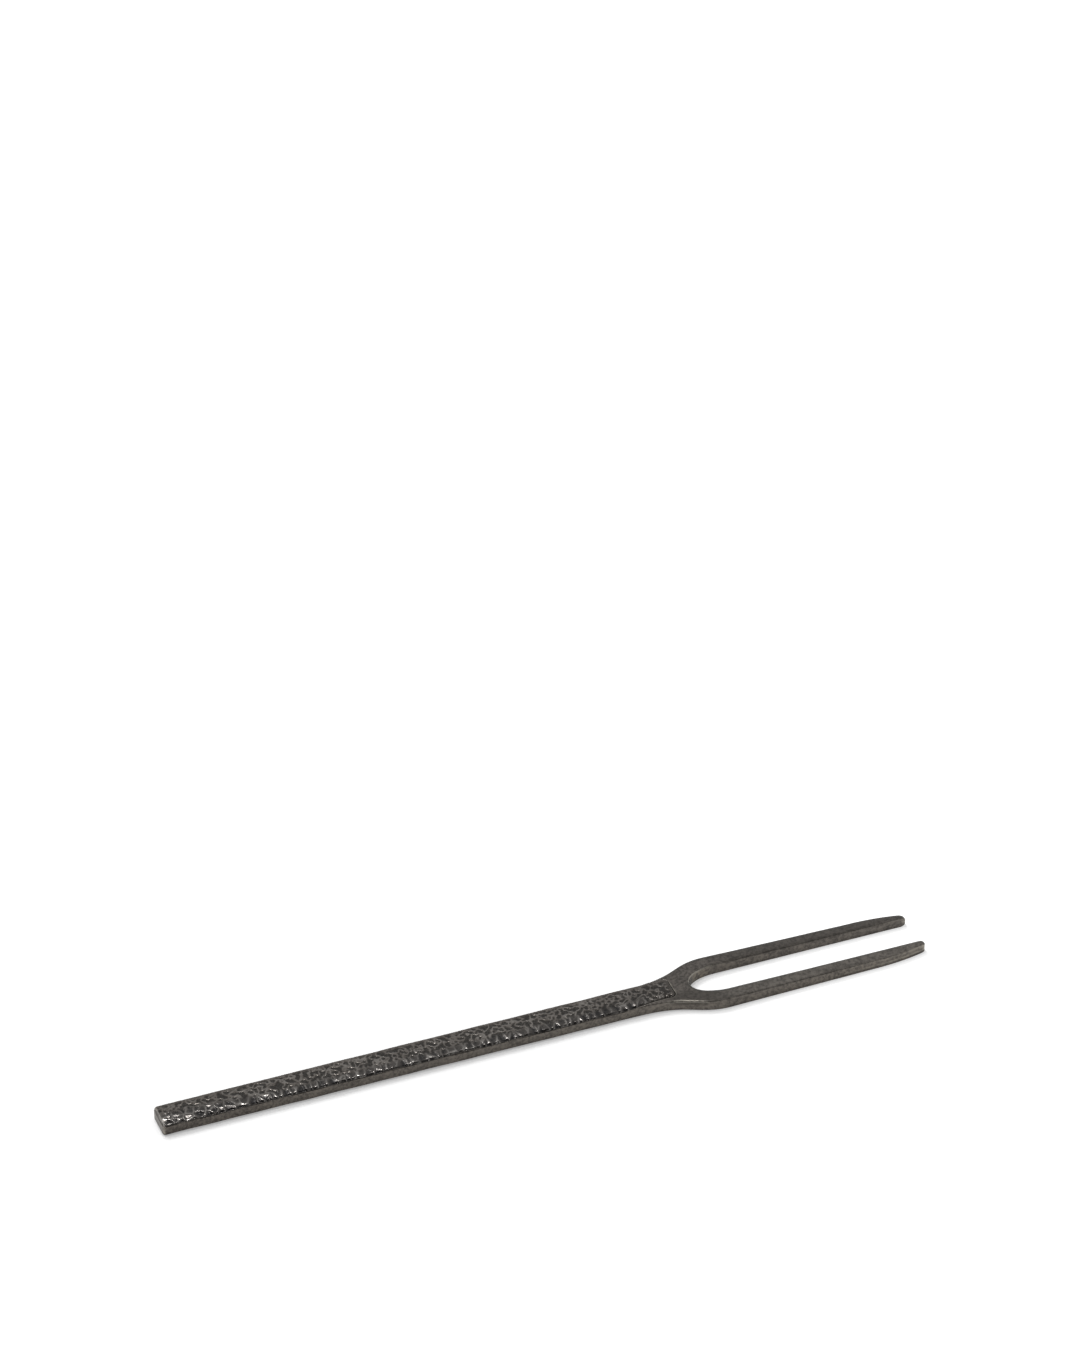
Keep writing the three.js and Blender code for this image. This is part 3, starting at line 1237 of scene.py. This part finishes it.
    def wall_dark(self, wall: np.ndarray, level: np.ndarray) -> np.ndarray:
        """How much painted shade the walls have: the tines' foot, the near tip, the slot's closed end and
        below the bevel.

        Args:
            wall: Points of the walls, seen from above.
            level: How far down the wall each of them is, from 0 to 1.

        Returns:
            One share for each point.
        """
        plan = self.body.plan
        x, y = wall.T
        tines = smooth_step(plan.slot_x, plan.taper_x, x)
        tips = smooth_step(plan.tip_x - plan.tip_curve_length, plan.tip_x - self.tip_edge_reach / 2, x)
        foot = self.foot_dark * (tines * (1 - tips) * smooth_step(*self.foot_levels, level))
        nose = smooth_step(plan.tip_x - self.tip_edge_reach, plan.tip_x - self.nose_dark_full, x)
        nose = self.nose_dark * nose * (y < 0) * smooth_step(*self.nose_levels, level)
        closed = self.closed_dark * self.body.closed_end(wall) * (1 - smooth_step(*self.closed_turn, y))
        under = ramp(x, plan.strip_end_x, self.under_start) * (y < -self.under_side * plan.slot_half)
        stop = smooth_step(plan.strip_end_x + self.under_stop, plan.slot_x + self.under_stop, x)
        under = under * (1 - stop) * (1 - smooth_step(*self.under_levels, level))
        closed = np.maximum(closed, self.under_dark * under)
        return np.maximum(plan.outer(wall) * np.maximum(foot, nose), closed)

    def tip_rub(self, points: np.ndarray) -> np.ndarray:
        """How much the metal is worn to tan: a little everywhere, more at the tips and at the slot's end,
        where the tan also paints the wall lighter.

        Args:
            points: Points of the body.

        Returns:
            One share for each point.
        """
        plan = self.body.plan
        outer = plan.outer(points)
        tips = smooth_step(plan.tip_x - self.tip_reach, plan.tip_x, points[:, 0])
        target = self.inner_tan + outer * (self.tip_tan - self.inner_tan)
        worn = self.wall_tan + tips * (target - self.wall_tan)
        # At the slot's closed end the tan also paints the wall lighter.
        along = points[:, 0] - plan.slot_x
        closed = (1 - smooth_step(*self.closed_tan_fade, along)) * (along > self.body.lip_start)
        closed = closed * smooth_step(*self.closed_turn, points[:, 1]) * (1 - outer)
        return np.maximum(worn, self.closed_tan * closed)


@dataclass(frozen=True)
class DimpleNodes:
    """A geometry node tree that beats dimples into a surface along its normals.

    Each field that is a single number is a named input of the tree.
    """

    scallop_size: float = 2.0 * MM
    scallop_depth: float = 0.23 * MM
    scallop_squeeze: float = 0.45
    # The Light inputs set how much brighter the ridges are painted: rubbed wear, with painted glints on the
    # scallops near the edge.
    scallop_light: float = 0.72
    butt_squeeze: float = 1.1
    butt_deepening: float = 1.6
    butt_reach: Pair = (-92 * MM, -72 * MM)
    worm_size: float = 1.8 * MM
    worm_depth: float = 0.1 * MM
    worm_light: float = 0.52
    worm_fade: float = 0.12
    worm_slope: Pair = (0.0, 0.115)
    worm_line: Pair = (0.01, 0.055)
    dimple_size: float = 0.9 * MM
    dimple_depth: float = 0.05 * MM
    dimple_light: float = 0.12
    dimple_fade: float = 0.4
    pit_slope: float = 0.42
    pit_power: float = 1.3
    pit_limit: float = 1.2
    pit_depths: Pair = (0.5, 1.0)
    pit_line: Pair = (0.03, 0.15)
    lean: float = 2.4
    warp: float = 0.7 * MM
    warp_size: float = 2.2 * MM
    warp_detail: float = 2.0
    patch_size: float = 2.8 * MM
    patch_reach: Pair = (0.38, 0.62)
    patch_strength: Pair = (0.38, 1.0)
    detail: float = 1.0
    seed: float = 4.0
    scallop_seed: float = 3.0
    worm_seed: float = 7.0
    patch_seed: float = 20.0

    def values(self) -> dict[str, float]:
        """The tree's named inputs and their values."""
        given = {field.name.replace("_", " ").title(): getattr(self, field.name) for field in fields(self)}
        return {name: value for name, value in given.items() if isinstance(value, float)}

    def build(self) -> bpy.types.NodeTree:
        """Builds the tree.

        Returns:
            The tree, with a named input for each size.
        """
        tree = bpy.data.node_groups.new("hammered_dimples", "GeometryNodeTree")
        tree.is_modifier = True
        sockets = [("Geometry", "INPUT", "NodeSocketGeometry")]
        sockets += [(name, "INPUT", "NodeSocketFloat") for name in self.values()]
        sockets += [("Finish", "INPUT", "NodeSocketMaterial"), ("Geometry", "OUTPUT", "NodeSocketGeometry")]
        for name, way, kind in sockets:
            tree.interface.new_socket(name, in_out=way, socket_type=kind)
        bench = NodeBench(tree)
        given = bench.add("NodeGroupInput").outputs
        normal = bench.add("GeometryNodeInputNormal").outputs[0]
        room, edge = (
            bench.add("GeometryNodeInputNamedAttribute", {"Name": mark.value}, data_type="FLOAT").outputs[0]
            for mark in (Mark.RELIEF, Mark.EDGE)
        )
        sunk, share, lines = self.relief(bench, given, edge)
        height = bench.math("SUBTRACT", 1.0, bench.product(share, room))
        push = bench.product(sunk, room, -1.0)
        shape = given["Geometry"]
        for mark, value in ((Mark.DIMPLE, height), (Mark.RIDGE, bench.product(lines, room))):
            sockets = {"Geometry": shape, "Name": mark.value, "Value": value}
            stored = bench.add("GeometryNodeStoreNamedAttribute", sockets, data_type="FLOAT", domain="POINT")
            shape = stored.outputs[0]
        sockets = {"Geometry": shape, "Offset": bench.scaled(normal, push)}
        beaten = bench.add("GeometryNodeSetPosition", sockets)
        real = bench.add("GeometryNodeRealizeInstances", {"Geometry": beaten.outputs[0]})
        sockets = {"Geometry": real.outputs[0], "Material": given["Finish"]}
        dressed = bench.add("GeometryNodeSetMaterial", sockets)
        bench.add("NodeGroupOutput", {0: dressed.outputs[0]})
        return tree

    def relief(self, bench: NodeBench, given: object, edge: Socket) -> tuple[Socket, Socket, Socket]:
        """The whole relief: scallops near the edge, winding ridges elsewhere, and dimples all over.

        Args:
            bench: Where the nodes are added.
            given: Sockets of the tree's inputs.
            edge: How near a place is to the strip's near edge, from 0 to 1.

        Returns:
            Sockets with the depth, with its share of the greatest depth there, and with the lit ridges.
        """
        seed = given["Seed"]
        place = bench.add("GeometryNodeInputPosition").outputs[0]
        along = bench.add("ShaderNodeSeparateXYZ", {0: place}).outputs[0]
        warped = self.drifted(bench, place, given)
        squeeze = bench.spread(along, self.butt_reach, (given["Butt Squeeze"], given["Scallop Squeeze"]))
        squeeze = bench.add("ShaderNodeCombineXYZ", {0: 1.0, 1: squeeze, 2: 1.0}).outputs[0]
        squeezed = bench.vector("MULTIPLY", warped, squeeze).outputs[0]
        scallop_seed = bench.math("ADD", seed, given["Scallop Seed"])
        scallop, scallop_ridge = self.pits(bench, squeezed, given["Scallop Size"], scallop_seed, given)
        dimple, dimple_ridge = self.pits(bench, warped, given["Dimple Size"], seed, given)
        worm, worm_ridge = self.worms(bench, place, given)

        flat = bench.spread(edge, UNIT, (1.0, given["Worm Fade"]))
        deepening = bench.spread(along, self.butt_reach, (given["Butt Deepening"], 1.0))
        calmer = bench.spread(edge, UNIT, (1.0, given["Dimple Fade"]))
        scallop_room = bench.product(given["Scallop Depth"], edge, deepening)
        worm_room = bench.product(given["Worm Depth"], flat)
        dimple_room = bench.product(given["Dimple Depth"], calmer)
        sunk = bench.product(scallop, scallop_room)
        sunk = bench.math("MULTIPLY_ADD", worm, worm_room, sunk)
        sunk = bench.math("MULTIPLY_ADD", dimple, dimple_room, sunk)
        total = bench.math("ADD", bench.math("ADD", scallop_room, worm_room), dimple_room)

        patch_seed = bench.math("ADD", seed, given["Patch Seed"])
        patches = self.noise(bench, place, given["Patch Size"], patch_seed, given["Detail"])
        patchy = bench.spread(patches.outputs[0], self.patch_reach, self.patch_strength)
        # Ridges painted brighter: rubbed wear, and painted glints on the scallops near the edge.
        lines = bench.product(worm_ridge, flat, given["Worm Light"])
        lines = bench.math("MAXIMUM", lines, bench.product(dimple_ridge, given["Dimple Light"]))
        lines = bench.math("MAXIMUM", lines, bench.product(edge, given["Scallop Light"], scallop_ridge))
        return sunk, bench.math("DIVIDE", sunk, total), bench.product(lines, patchy)

    @staticmethod
    def noise(bench: NodeBench, place: object, size: object, seed: object, detail: object) -> bpy.types.Node:
        """A Noise Texture node with swells of a given size and a seed of its own."""
        sockets = {"Vector": place, "W": seed, "Scale": bench.math("DIVIDE", 1.0, size), "Detail": detail}
        return bench.add("ShaderNodeTexNoise", sockets, noise_dimensions="4D")

    def drifted(self, bench: NodeBench, place: object, given: object) -> Socket:
        """Coordinates pulled to and fro, so that the dimples aren't regular.

        Args:
            bench: Where the nodes are added.
            place: Coordinates of the surface.
            given: Sockets of the tree's inputs.

        Returns:
            A socket with the pulled coordinates.
        """
        drift = self.noise(bench, place, given["Warp Size"], given["Seed"], given["Warp Detail"])
        centred = bench.vector("SUBTRACT", drift.outputs["Color"], (NOISE_MIDDLE,) * 3).outputs[0]
        pull = bench.scaled(centred, bench.product(given["Warp"], NOISE_GAIN))
        return bench.vector("ADD", place, pull).outputs[0]

    def worms(self, bench: NodeBench, place: object, given: object) -> tuple[Socket, Socket]:
        """Low winding ridges, along the line where a smooth noise is at its middle value.

        Args:
            bench: Where the nodes are added.
            place: Coordinates that the ridges follow.
            given: Sockets of the tree's inputs.

        Returns:
            Sockets with the depth, from 0 on the ridges to 1 between them, and with the ridges.
        """
        seed = bench.math("ADD", given["Seed"], given["Worm Seed"])
        noise = self.noise(bench, place, given["Worm Size"], seed, given["Detail"]).outputs[0]
        away = bench.math("ABSOLUTE", bench.math("SUBTRACT", noise, NOISE_MIDDLE))
        return bench.spread(away, self.worm_slope, UNIT), bench.spread(away, self.worm_line, UNIT[::-1])

    def pits(
        self, bench: NodeBench, place: object, size: object, seed: object, given: object
    ) -> tuple[Socket, Socket]:
        """Pits side by side, seen from above, each of its own depth, with ridges where they meet.

        Args:
            bench: Where the nodes are added.
            place: Coordinates that the pits follow.
            size: Typical distance between two pits.
            seed: Value that sets where the pits are.
            given: Sockets of the tree's inputs.

        Returns:
            Sockets with the depth, from 0 on the ridges to 1 in the deepest pits, and with the ridges.
        """
        shift = bench.add("ShaderNodeCombineXYZ", {0: bench.product(seed, size)}).outputs[0]
        moved = bench.vector("ADD", place, shift).outputs[0]
        sockets = {"Vector": moved, "Scale": bench.math("DIVIDE", 1.0, size)}
        nearest, border = (
            bench.add("ShaderNodeTexVoronoi", sockets, voronoi_dimensions="2D", feature=feature)
            for feature in ("F1", "DISTANCE_TO_EDGE")
        )
        away = border.outputs["Distance"]
        climb = bench.math("MINIMUM", bench.math("DIVIDE", away, given["Pit Slope"]), 1.0)
        rise = bench.math("SUBTRACT", 1.0, climb)
        bowl = bench.math("SUBTRACT", 1.0, bench.math("POWER", rise, given["Pit Power"]))
        chance = bench.add("FunctionNodeSeparateColor", {0: nearest.outputs["Color"]}).outputs[0]
        off = bench.vector("SUBTRACT", moved, nearest.outputs["Position"]).outputs[0]
        way = bench.vector("SUBTRACT", nearest.outputs["Color"], (NOISE_MIDDLE,) * 3).outputs[0]
        level = bench.vector("MULTIPLY", way, LEVEL_PLANE).outputs[0]
        lower = bench.vector("DOT_PRODUCT", off, level).outputs["Value"]
        leaning = bench.product(bench.math("DIVIDE", lower, size), given["Lean"])
        deep = bench.math("ADD", bench.spread(chance, UNIT, self.pit_depths), leaning)
        held = bench.math("MINIMUM", bench.math("MAXIMUM", deep, 0.0), given["Pit Limit"])
        return bench.product(bowl, held), bench.spread(away, self.pit_line, UNIT[::-1])


@dataclass(frozen=True)
class GripStrip:
    """The strip on the handle: flat below, rolled down at its edges and hammered all over."""

    plan: ForkPlan
    seat: float
    top: float
    roll: float = 0.6 * MM
    roll_turns: int = 11
    far_roll: float = 0.4 * MM
    far_turn: Pair = (-0.3, 0.7)
    far_relief: float = 0.25
    far_edge: Pair = (0.55, 0.95)
    near_crown: float = 0.4 * MM
    far_crown: float = 0.12 * MM
    crown_power: int = 3
    step: float = 0.12 * MM
    # The crease between the smooth foot and the hammering, and how strong its painted shade is.
    crease_rise: float = 0.16 * MM
    crease_wander: float = 0.17 * MM
    crease_length: float = 17 * MM
    crease_width: float = 0.1 * MM
    crease_middle: float = 0.4
    crease_least: float = 0.25
    crease_breaks: Pair = (-0.9, 0.1)
    whole_crease: Pair = (8 * MM, 16 * MM)
    foot_reach: Pair = (-0.6, 0.4)
    relief_reach: Pair = (0.3, 2.2)
    broad_start: float = 0.4
    broad_reach: float = 3.0 * MM
    pocket_depth: float = 0.4 * MM
    near_pocket: Pair = (-2 * MM, 4 * MM)
    far_pocket_lead: float = 4 * MM
    # Painted highlight along the butt's rim.
    butt_rim: float = 0.4
    butt_rim_line: Pair = (0.28 * MM, 0.2 * MM)
    butt_spread: float = 0.8
    butt_spread_reach: Pair = (8 * MM, 30 * MM)
    # Painted glint at the butt's near corner.
    corner_rub: float = 1.0
    corner_spot: Pair = (0.6 * MM, -2.1 * MM)
    corner_size: float = 0.45 * MM
    # Painted shade at the strip's end.
    end_dark: float = 0.6
    end_line: Pair = (0.55 * MM, 0.4 * MM)
    end_shade: float = 0.16
    end_shade_reach: Pair = (5 * MM, 16 * MM)
    quiet_end: Pair = (0.1 * MM, 1.5 * MM)
    scallop_end: Pair = (5.5 * MM, 9 * MM)

    def spacing(self, length: float) -> np.ndarray:
        """Distances from one edge of the strip to the other, closer together on the rolled edges.

        Args:
            length: Distance from edge to edge.

        Returns:
            Distances from the first edge, in order.
        """
        rolled = self.roll * (1 - np.cos(np.linspace(0, math.pi / 2, self.roll_turns)))
        count = math.ceil((length - 2 * self.roll) / self.step) + 1
        middle = np.linspace(self.roll, length - self.roll, count)
        return np.concatenate((rolled[:-1], middle, (length - rolled[:-1])[::-1]))

    def height(self, edge: np.ndarray, across: np.ndarray) -> np.ndarray:
        """Height of the unhammered top.

        Args:
            edge: Distance from the strip's edge.
            across: Place across the strip, from -1 to 1.

        Returns:
            One height for each place.
        """
        far = smooth_step(*self.far_turn, across)
        reach = 1 - np.clip(edge / (self.roll + far * (self.far_roll - self.roll)), 0, 1)
        crown = np.where(across < 0, self.near_crown, self.far_crown)
        rise = self.top - self.seat - crown * np.abs(across) ** self.crown_power
        return self.seat + rise * np.sqrt(np.maximum(1 - reach**2, 0))

    def above_crease(self, edge: np.ndarray, top: np.ndarray) -> np.ndarray:
        """How far each vertex lies above the crease between the smooth foot and the hammering.

        Args:
            edge: Distance of each vertex from the strip's edge.
            top: The vertices.

        Returns:
            One distance for each vertex, in widths of the crease.
        """
        plan = self.plan
        x, near_side = top[:, 0], top[:, 1] < 0
        turn = np.arccos(1 - np.clip(edge / self.roll, 0, 1))
        climb = turn * (self.roll + self.top - self.seat) / 2
        near, far = (wander(x[:, None], self.crease_length, s) for s in (Seed.NEAR_CREASE, Seed.FAR_CREASE))
        crease = self.crease_rise + self.crease_wander * np.where(near_side, near, far)
        far_pocket = smooth_step(plan.neck_x + self.far_pocket_lead, plan.strip_end_x - plan.strip_corner, x)
        in_pocket = np.where(near_side, ramp(x, plan.neck_x, self.near_pocket), far_pocket)
        crease = np.maximum(crease, 0) * (1 - in_pocket) + self.pocket_depth * in_pocket
        return (climb - crease) / self.crease_width

    def marks(self, edge: np.ndarray, top: np.ndarray) -> dict[Mark, np.ndarray]:
        """Where the strip is hammered and where its foot stays smooth, with painted shade in the crease
        between the two and at the strip's end, and painted highlights at the butt.

        Args:
            edge: Distance of each vertex from the strip's edge.
            top: The vertices.

        Returns:
            Values of each attribute, one for each vertex.
        """
        plan = self.plan
        x, y = top[:, 0], top[:, 1]
        from_butt, to_end = x - plan.strip_start_x, plan.strip_end_x - x
        off = self.above_crease(edge, top)
        breaks = wander(x[:, None], self.crease_length / 2, Seed.CREASE_BREAKS)
        whole = 1 - smooth_step(*self.whole_crease, from_butt)
        broken = np.maximum(smooth_step(*self.crease_breaks, breaks), whole)
        # Painted shade along the crease, weaker where it breaks.
        crease = hump(off, self.crease_middle, 1) * (self.crease_least + (1 - self.crease_least) * broken)
        # Painted shade at the strip's end.
        end_dark = self.end_dark * hump(to_end, *self.end_line)
        end_dark = np.maximum(end_dark, self.end_shade * (1 - smooth_step(*self.end_shade_reach, to_end)))
        far_edge = smooth_step(*self.far_edge, y / (plan.butt_width / 2))
        relief = smooth_step(*self.relief_reach, off) * (1 - (1 - self.far_relief) * far_edge)
        from_edge = y + plan.butt_width / 2 - plan.tuck(x, y)
        from_edge = from_edge / (1 + self.butt_spread * (1 - smooth_step(*self.butt_spread_reach, from_butt)))
        broad = 1 - smooth_step(self.broad_start * self.broad_reach, self.broad_reach, from_edge)
        # Painted highlight along the butt's rim and a painted glint at its near corner.
        rim = self.butt_rim * hump(from_butt, *self.butt_rim_line)
        corner = np.hypot(from_butt - self.corner_spot[0], y - self.corner_spot[1])
        return {
            Mark.RELIEF: relief * smooth_step(*self.quiet_end, to_end),
            Mark.EDGE: broad * smooth_step(*self.scallop_end, to_end),
            Mark.SMOOTH: 1 - smooth_step(*self.foot_reach, off),
            Mark.CREASE: np.maximum(crease, end_dark),
            Mark.RUB: np.maximum(rim, self.corner_rub * hump(corner, 0, self.corner_size)),
        }

    def base(self) -> bpy.types.Mesh:
        """The strip before it is hammered: a closed mesh with a grid of quads on top.

        Returns:
            The new mesh, with marks for the hammering and the finish.
        """
        plan = self.plan
        length = plan.strip_end_x - plan.strip_start_x
        from_butt = self.spacing(length)
        xs = plan.strip_start_x + from_butt
        half = plan.handle_half(xs) - plan.strip_inset
        tuck = plan.tuck(xs, np.full(len(xs), -1))
        for corner, gone in ((plan.butt_corner, from_butt), (plan.strip_corner, length - from_butt)):
            short = np.clip(corner - gone, 0, corner)
            half = half - (corner - np.sqrt(corner**2 - short**2))
        share = self.spacing(plan.neck_width) / plan.neck_width * 2 - 1
        columns = len(share)
        grid_x = np.repeat(xs, columns)
        across = np.tile(share, len(xs))
        grid_half = np.repeat(half, columns) - np.where(across < 0, np.repeat(tuck, columns), 0)
        grid_y = grid_half * across
        stray = plan.edge_waver(grid_x, grid_y) * across * np.sign(grid_y)
        end = np.repeat(np.minimum(from_butt, length - from_butt), columns)
        edge = np.minimum(grid_half * (1 - np.abs(across)), end)
        top = np.column_stack((grid_x, grid_y + stray, self.height(edge, across)))
        numbers = np.arange(len(top)).reshape(len(xs), columns)
        quads = np.stack((numbers[:-1, :-1], numbers[1:, :-1], numbers[1:, 1:], numbers[:-1, 1:]), axis=-1)
        faces = quads.reshape(-1, 4).tolist()
        left, right = numbers[:, 0], numbers[:, -1]
        faces += np.column_stack((left[:-1], right[:-1], right[1:], left[1:])).tolist()
        faces += [numbers[0].tolist(), numbers[-1][::-1].tolist()]
        return make_mesh("grip_strip_plain", top, faces, self.marks(edge, top))

    def build(self, dimples: DimpleNodes, finish: HammeredBlack) -> bpy.types.Object:
        """Builds the strip, hammers it and gives it its finish.

        Args:
            dimples: The dimples to beat into it.
            finish: The strip's finish.

        Returns:
            The finished object.
        """
        made = add_object("grip_strip_hammered", self.base())
        hammer = made.modifiers.new("hammer", "NODES")
        hammer.node_group = dimples.build()
        wanted = {**dimples.values(), "Finish": finish.build()}
        for item in hammer.node_group.interface.items_tree:
            if item.in_out == "INPUT" and item.name in wanted:
                hammer[item.identifier] = wanted[item.name]
        shaped = made.evaluated_get(bpy.context.evaluated_depsgraph_get())
        mesh = bpy.data.meshes.new_from_object(shaped)
        made.modifiers.remove(hammer)
        made.data = mesh
        mesh.name = "grip_strip_hammered"
        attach(made, BODY_NAME)
        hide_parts(Node.STRIP.value)
        return made


@dataclass(frozen=True)
class PhotoCamera:
    """The camera at the photograph's viewing angle."""

    place: Spot = (-370.37 * MM, -925.81 * MM, 804.45 * MM)
    aim: Spot = (54.93 * MM, 141.39 * MM, 0.13 * MM)
    lens: float = 138.67
    sensor: float = 36.0
    clip: Pair = (10 * MM, 100.0)

    def build(self) -> bpy.types.Object:
        """Builds the camera and makes it the scene's.

        Returns:
            The camera object.
        """
        lens = bpy.data.cameras.new("photo_camera")
        lens.lens = self.lens
        lens.sensor_width = self.sensor
        lens.clip_start, lens.clip_end = self.clip
        made = add_aimed("photo_camera", lens, self.place, self.aim)
        bpy.context.scene.camera = made
        return made


@dataclass(frozen=True)
class Softbox:
    """One soft rectangular studio lamp, aimed at the fork."""

    name: str
    place: Spot
    size: Pair
    power: float
    in_gloss: bool = True
    aim: Spot = (0.0, 0.0, 0.0)

    def build(self) -> bpy.types.Object:
        """Builds the lamp.

        Returns:
            The lamp object.
        """
        lamp = bpy.data.lights.new(self.name, "AREA")
        lamp.shape = "RECTANGLE"
        lamp.size, lamp.size_y = self.size
        lamp.energy = self.power
        made = add_aimed(self.name, lamp, self.place, self.aim)
        made.visible_glossy = self.in_gloss
        return made


@dataclass(frozen=True)
class Studio:
    """A white floor whose glow, painted light, grows away from the handle, a pale surrounding that is darker
    behind the camera, and two soft lamps.
    """

    floor_half: float = 12.0
    floor_colour: Colour = (0.5, 0.5, 0.5)
    floor_glow: Pair = (0.27, 0.53)
    glow_centre: Spot = (-0.06, 0.0, 0.0)
    glow_reach: Pair = (0.06, 0.15)
    world_level: float = 0.9
    dark_level: float = 0.1
    dark_side: Spot = (-0.179, -0.499, 0.848)
    dark_reach: Pair = (0.68, 0.94)
    lamps: tuple[Softbox, ...] = (
        Softbox("overhead_softbox", (-0.05, 0.10, 0.62), (0.09, 0.08), 1.3),
        Softbox("back_softbox", (-0.12, 0.38, 0.57), (0.35, 0.25), 3.9, in_gloss=False),
    )

    def build(self) -> bpy.types.Object:
        """Builds the floor, the surrounding and the lamps.

        Returns:
            The floor.
        """
        reach = self.floor_half
        corners = np.array([(-reach, -reach, 0), (reach, -reach, 0), (reach, reach, 0), (-reach, reach, 0)])
        floor = add_object("studio_floor", make_mesh("studio_floor", corners, [[0, 1, 2, 3]], {}))
        floor.data.materials.append(self.floor_finish())
        world = bpy.data.worlds.new("studio_surround")
        world.use_nodes = True
        bpy.context.scene.world = world
        self.light_surround(NodeBench(world.node_tree))
        for lamp in self.lamps:
            lamp.build()
        bpy.context.scene.view_settings.view_transform = "Standard"
        return floor

    @staticmethod
    def seen(bench: NodeBench) -> Socket:
        """Tells rays that show the floor itself from rays that only carry its light.

        Args:
            bench: Where the nodes are added.

        Returns:
            1 for rays from the camera and for rays that mirror or pass through a surface, else 0.
        """
        path = bench.add("ShaderNodeLightPath").outputs
        mirrored = bench.math("MAXIMUM", path["Is Glossy Ray"], path["Is Transmission Ray"])
        return bench.math("MAXIMUM", path["Is Camera Ray"], mirrored)

    def floor_finish(self) -> bpy.types.Material:
        """White floor that keeps the fork's shadow and shows white where it is open; its glow is painted
        light that grows away from the handle and lightens the shadow round the head.

        Returns:
            The new material.
        """
        material = bpy.data.materials.new("white_floor")
        material.use_nodes = True
        bench = NodeBench(material.node_tree)
        bench.tree.nodes.remove(bench.tree.nodes["Principled BSDF"])
        matte = bench.add("ShaderNodeBsdfDiffuse", {"Color": opaque(self.floor_colour)})
        glow = bench.add("ShaderNodeEmission", {"Color": opaque(WHITE)})
        place = bench.add("ShaderNodeTexCoord").outputs["Object"]
        # Painted light: the glow grows away from the handle, lightening the shadow round the head.
        away = bench.vector("DISTANCE", place, self.glow_centre).outputs["Value"]
        level = bench.spread(away, self.glow_reach, self.floor_glow)
        bench.feed(glow.inputs["Strength"], bench.product(self.seen(bench), level))
        both = bench.add("ShaderNodeAddShader", {0: matte.outputs[0], 1: glow.outputs[0]})
        bench.feed(bench.tree.nodes["Material Output"].inputs["Surface"], both.outputs[0])
        return material

    def light_surround(self, bench: NodeBench) -> None:
        """Gives the surrounding a pale light that fades behind the camera.

        Args:
            bench: The world's node tree.
        """
        background = bench.tree.nodes["Background"]
        background.inputs["Color"].default_value = opaque(WHITE)
        way = bench.add("ShaderNodeTexCoord").outputs["Generated"]
        facing = bench.vector("DOT_PRODUCT", way, self.dark_side).outputs["Value"]
        level = bench.spread(facing, self.dark_reach, (self.world_level, self.dark_level))
        bench.feed(background.inputs["Strength"], level)


def main() -> None:
    """Builds every piece in order and reports it."""
    logging.basicConfig(level=logging.INFO, format="%(message)s")
    plan = ForkPlan.from_frame()
    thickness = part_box(Node.BODY.value)[1].z
    strip_low, strip_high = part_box(Node.STRIP.value)
    PhotoCamera().build()
    satin = SatinBlack()
    fork_body = ForkBody(plan, thickness, strip_low.z)
    body = fork_body.build(satin, BodyWearAndPaintedLight(fork_body))
    grip_strip = GripStrip(plan, strip_low.z, strip_high.z)
    strip = grip_strip.build(DimpleNodes(), HammeredBlack(satin=satin))
    Studio().build()
    for piece in (body, strip):
        LOG.info("%s: %d vertices, %d faces", piece.name, len(piece.data.vertices), len(piece.data.polygons))


if __name__ == "__main__":
    main()
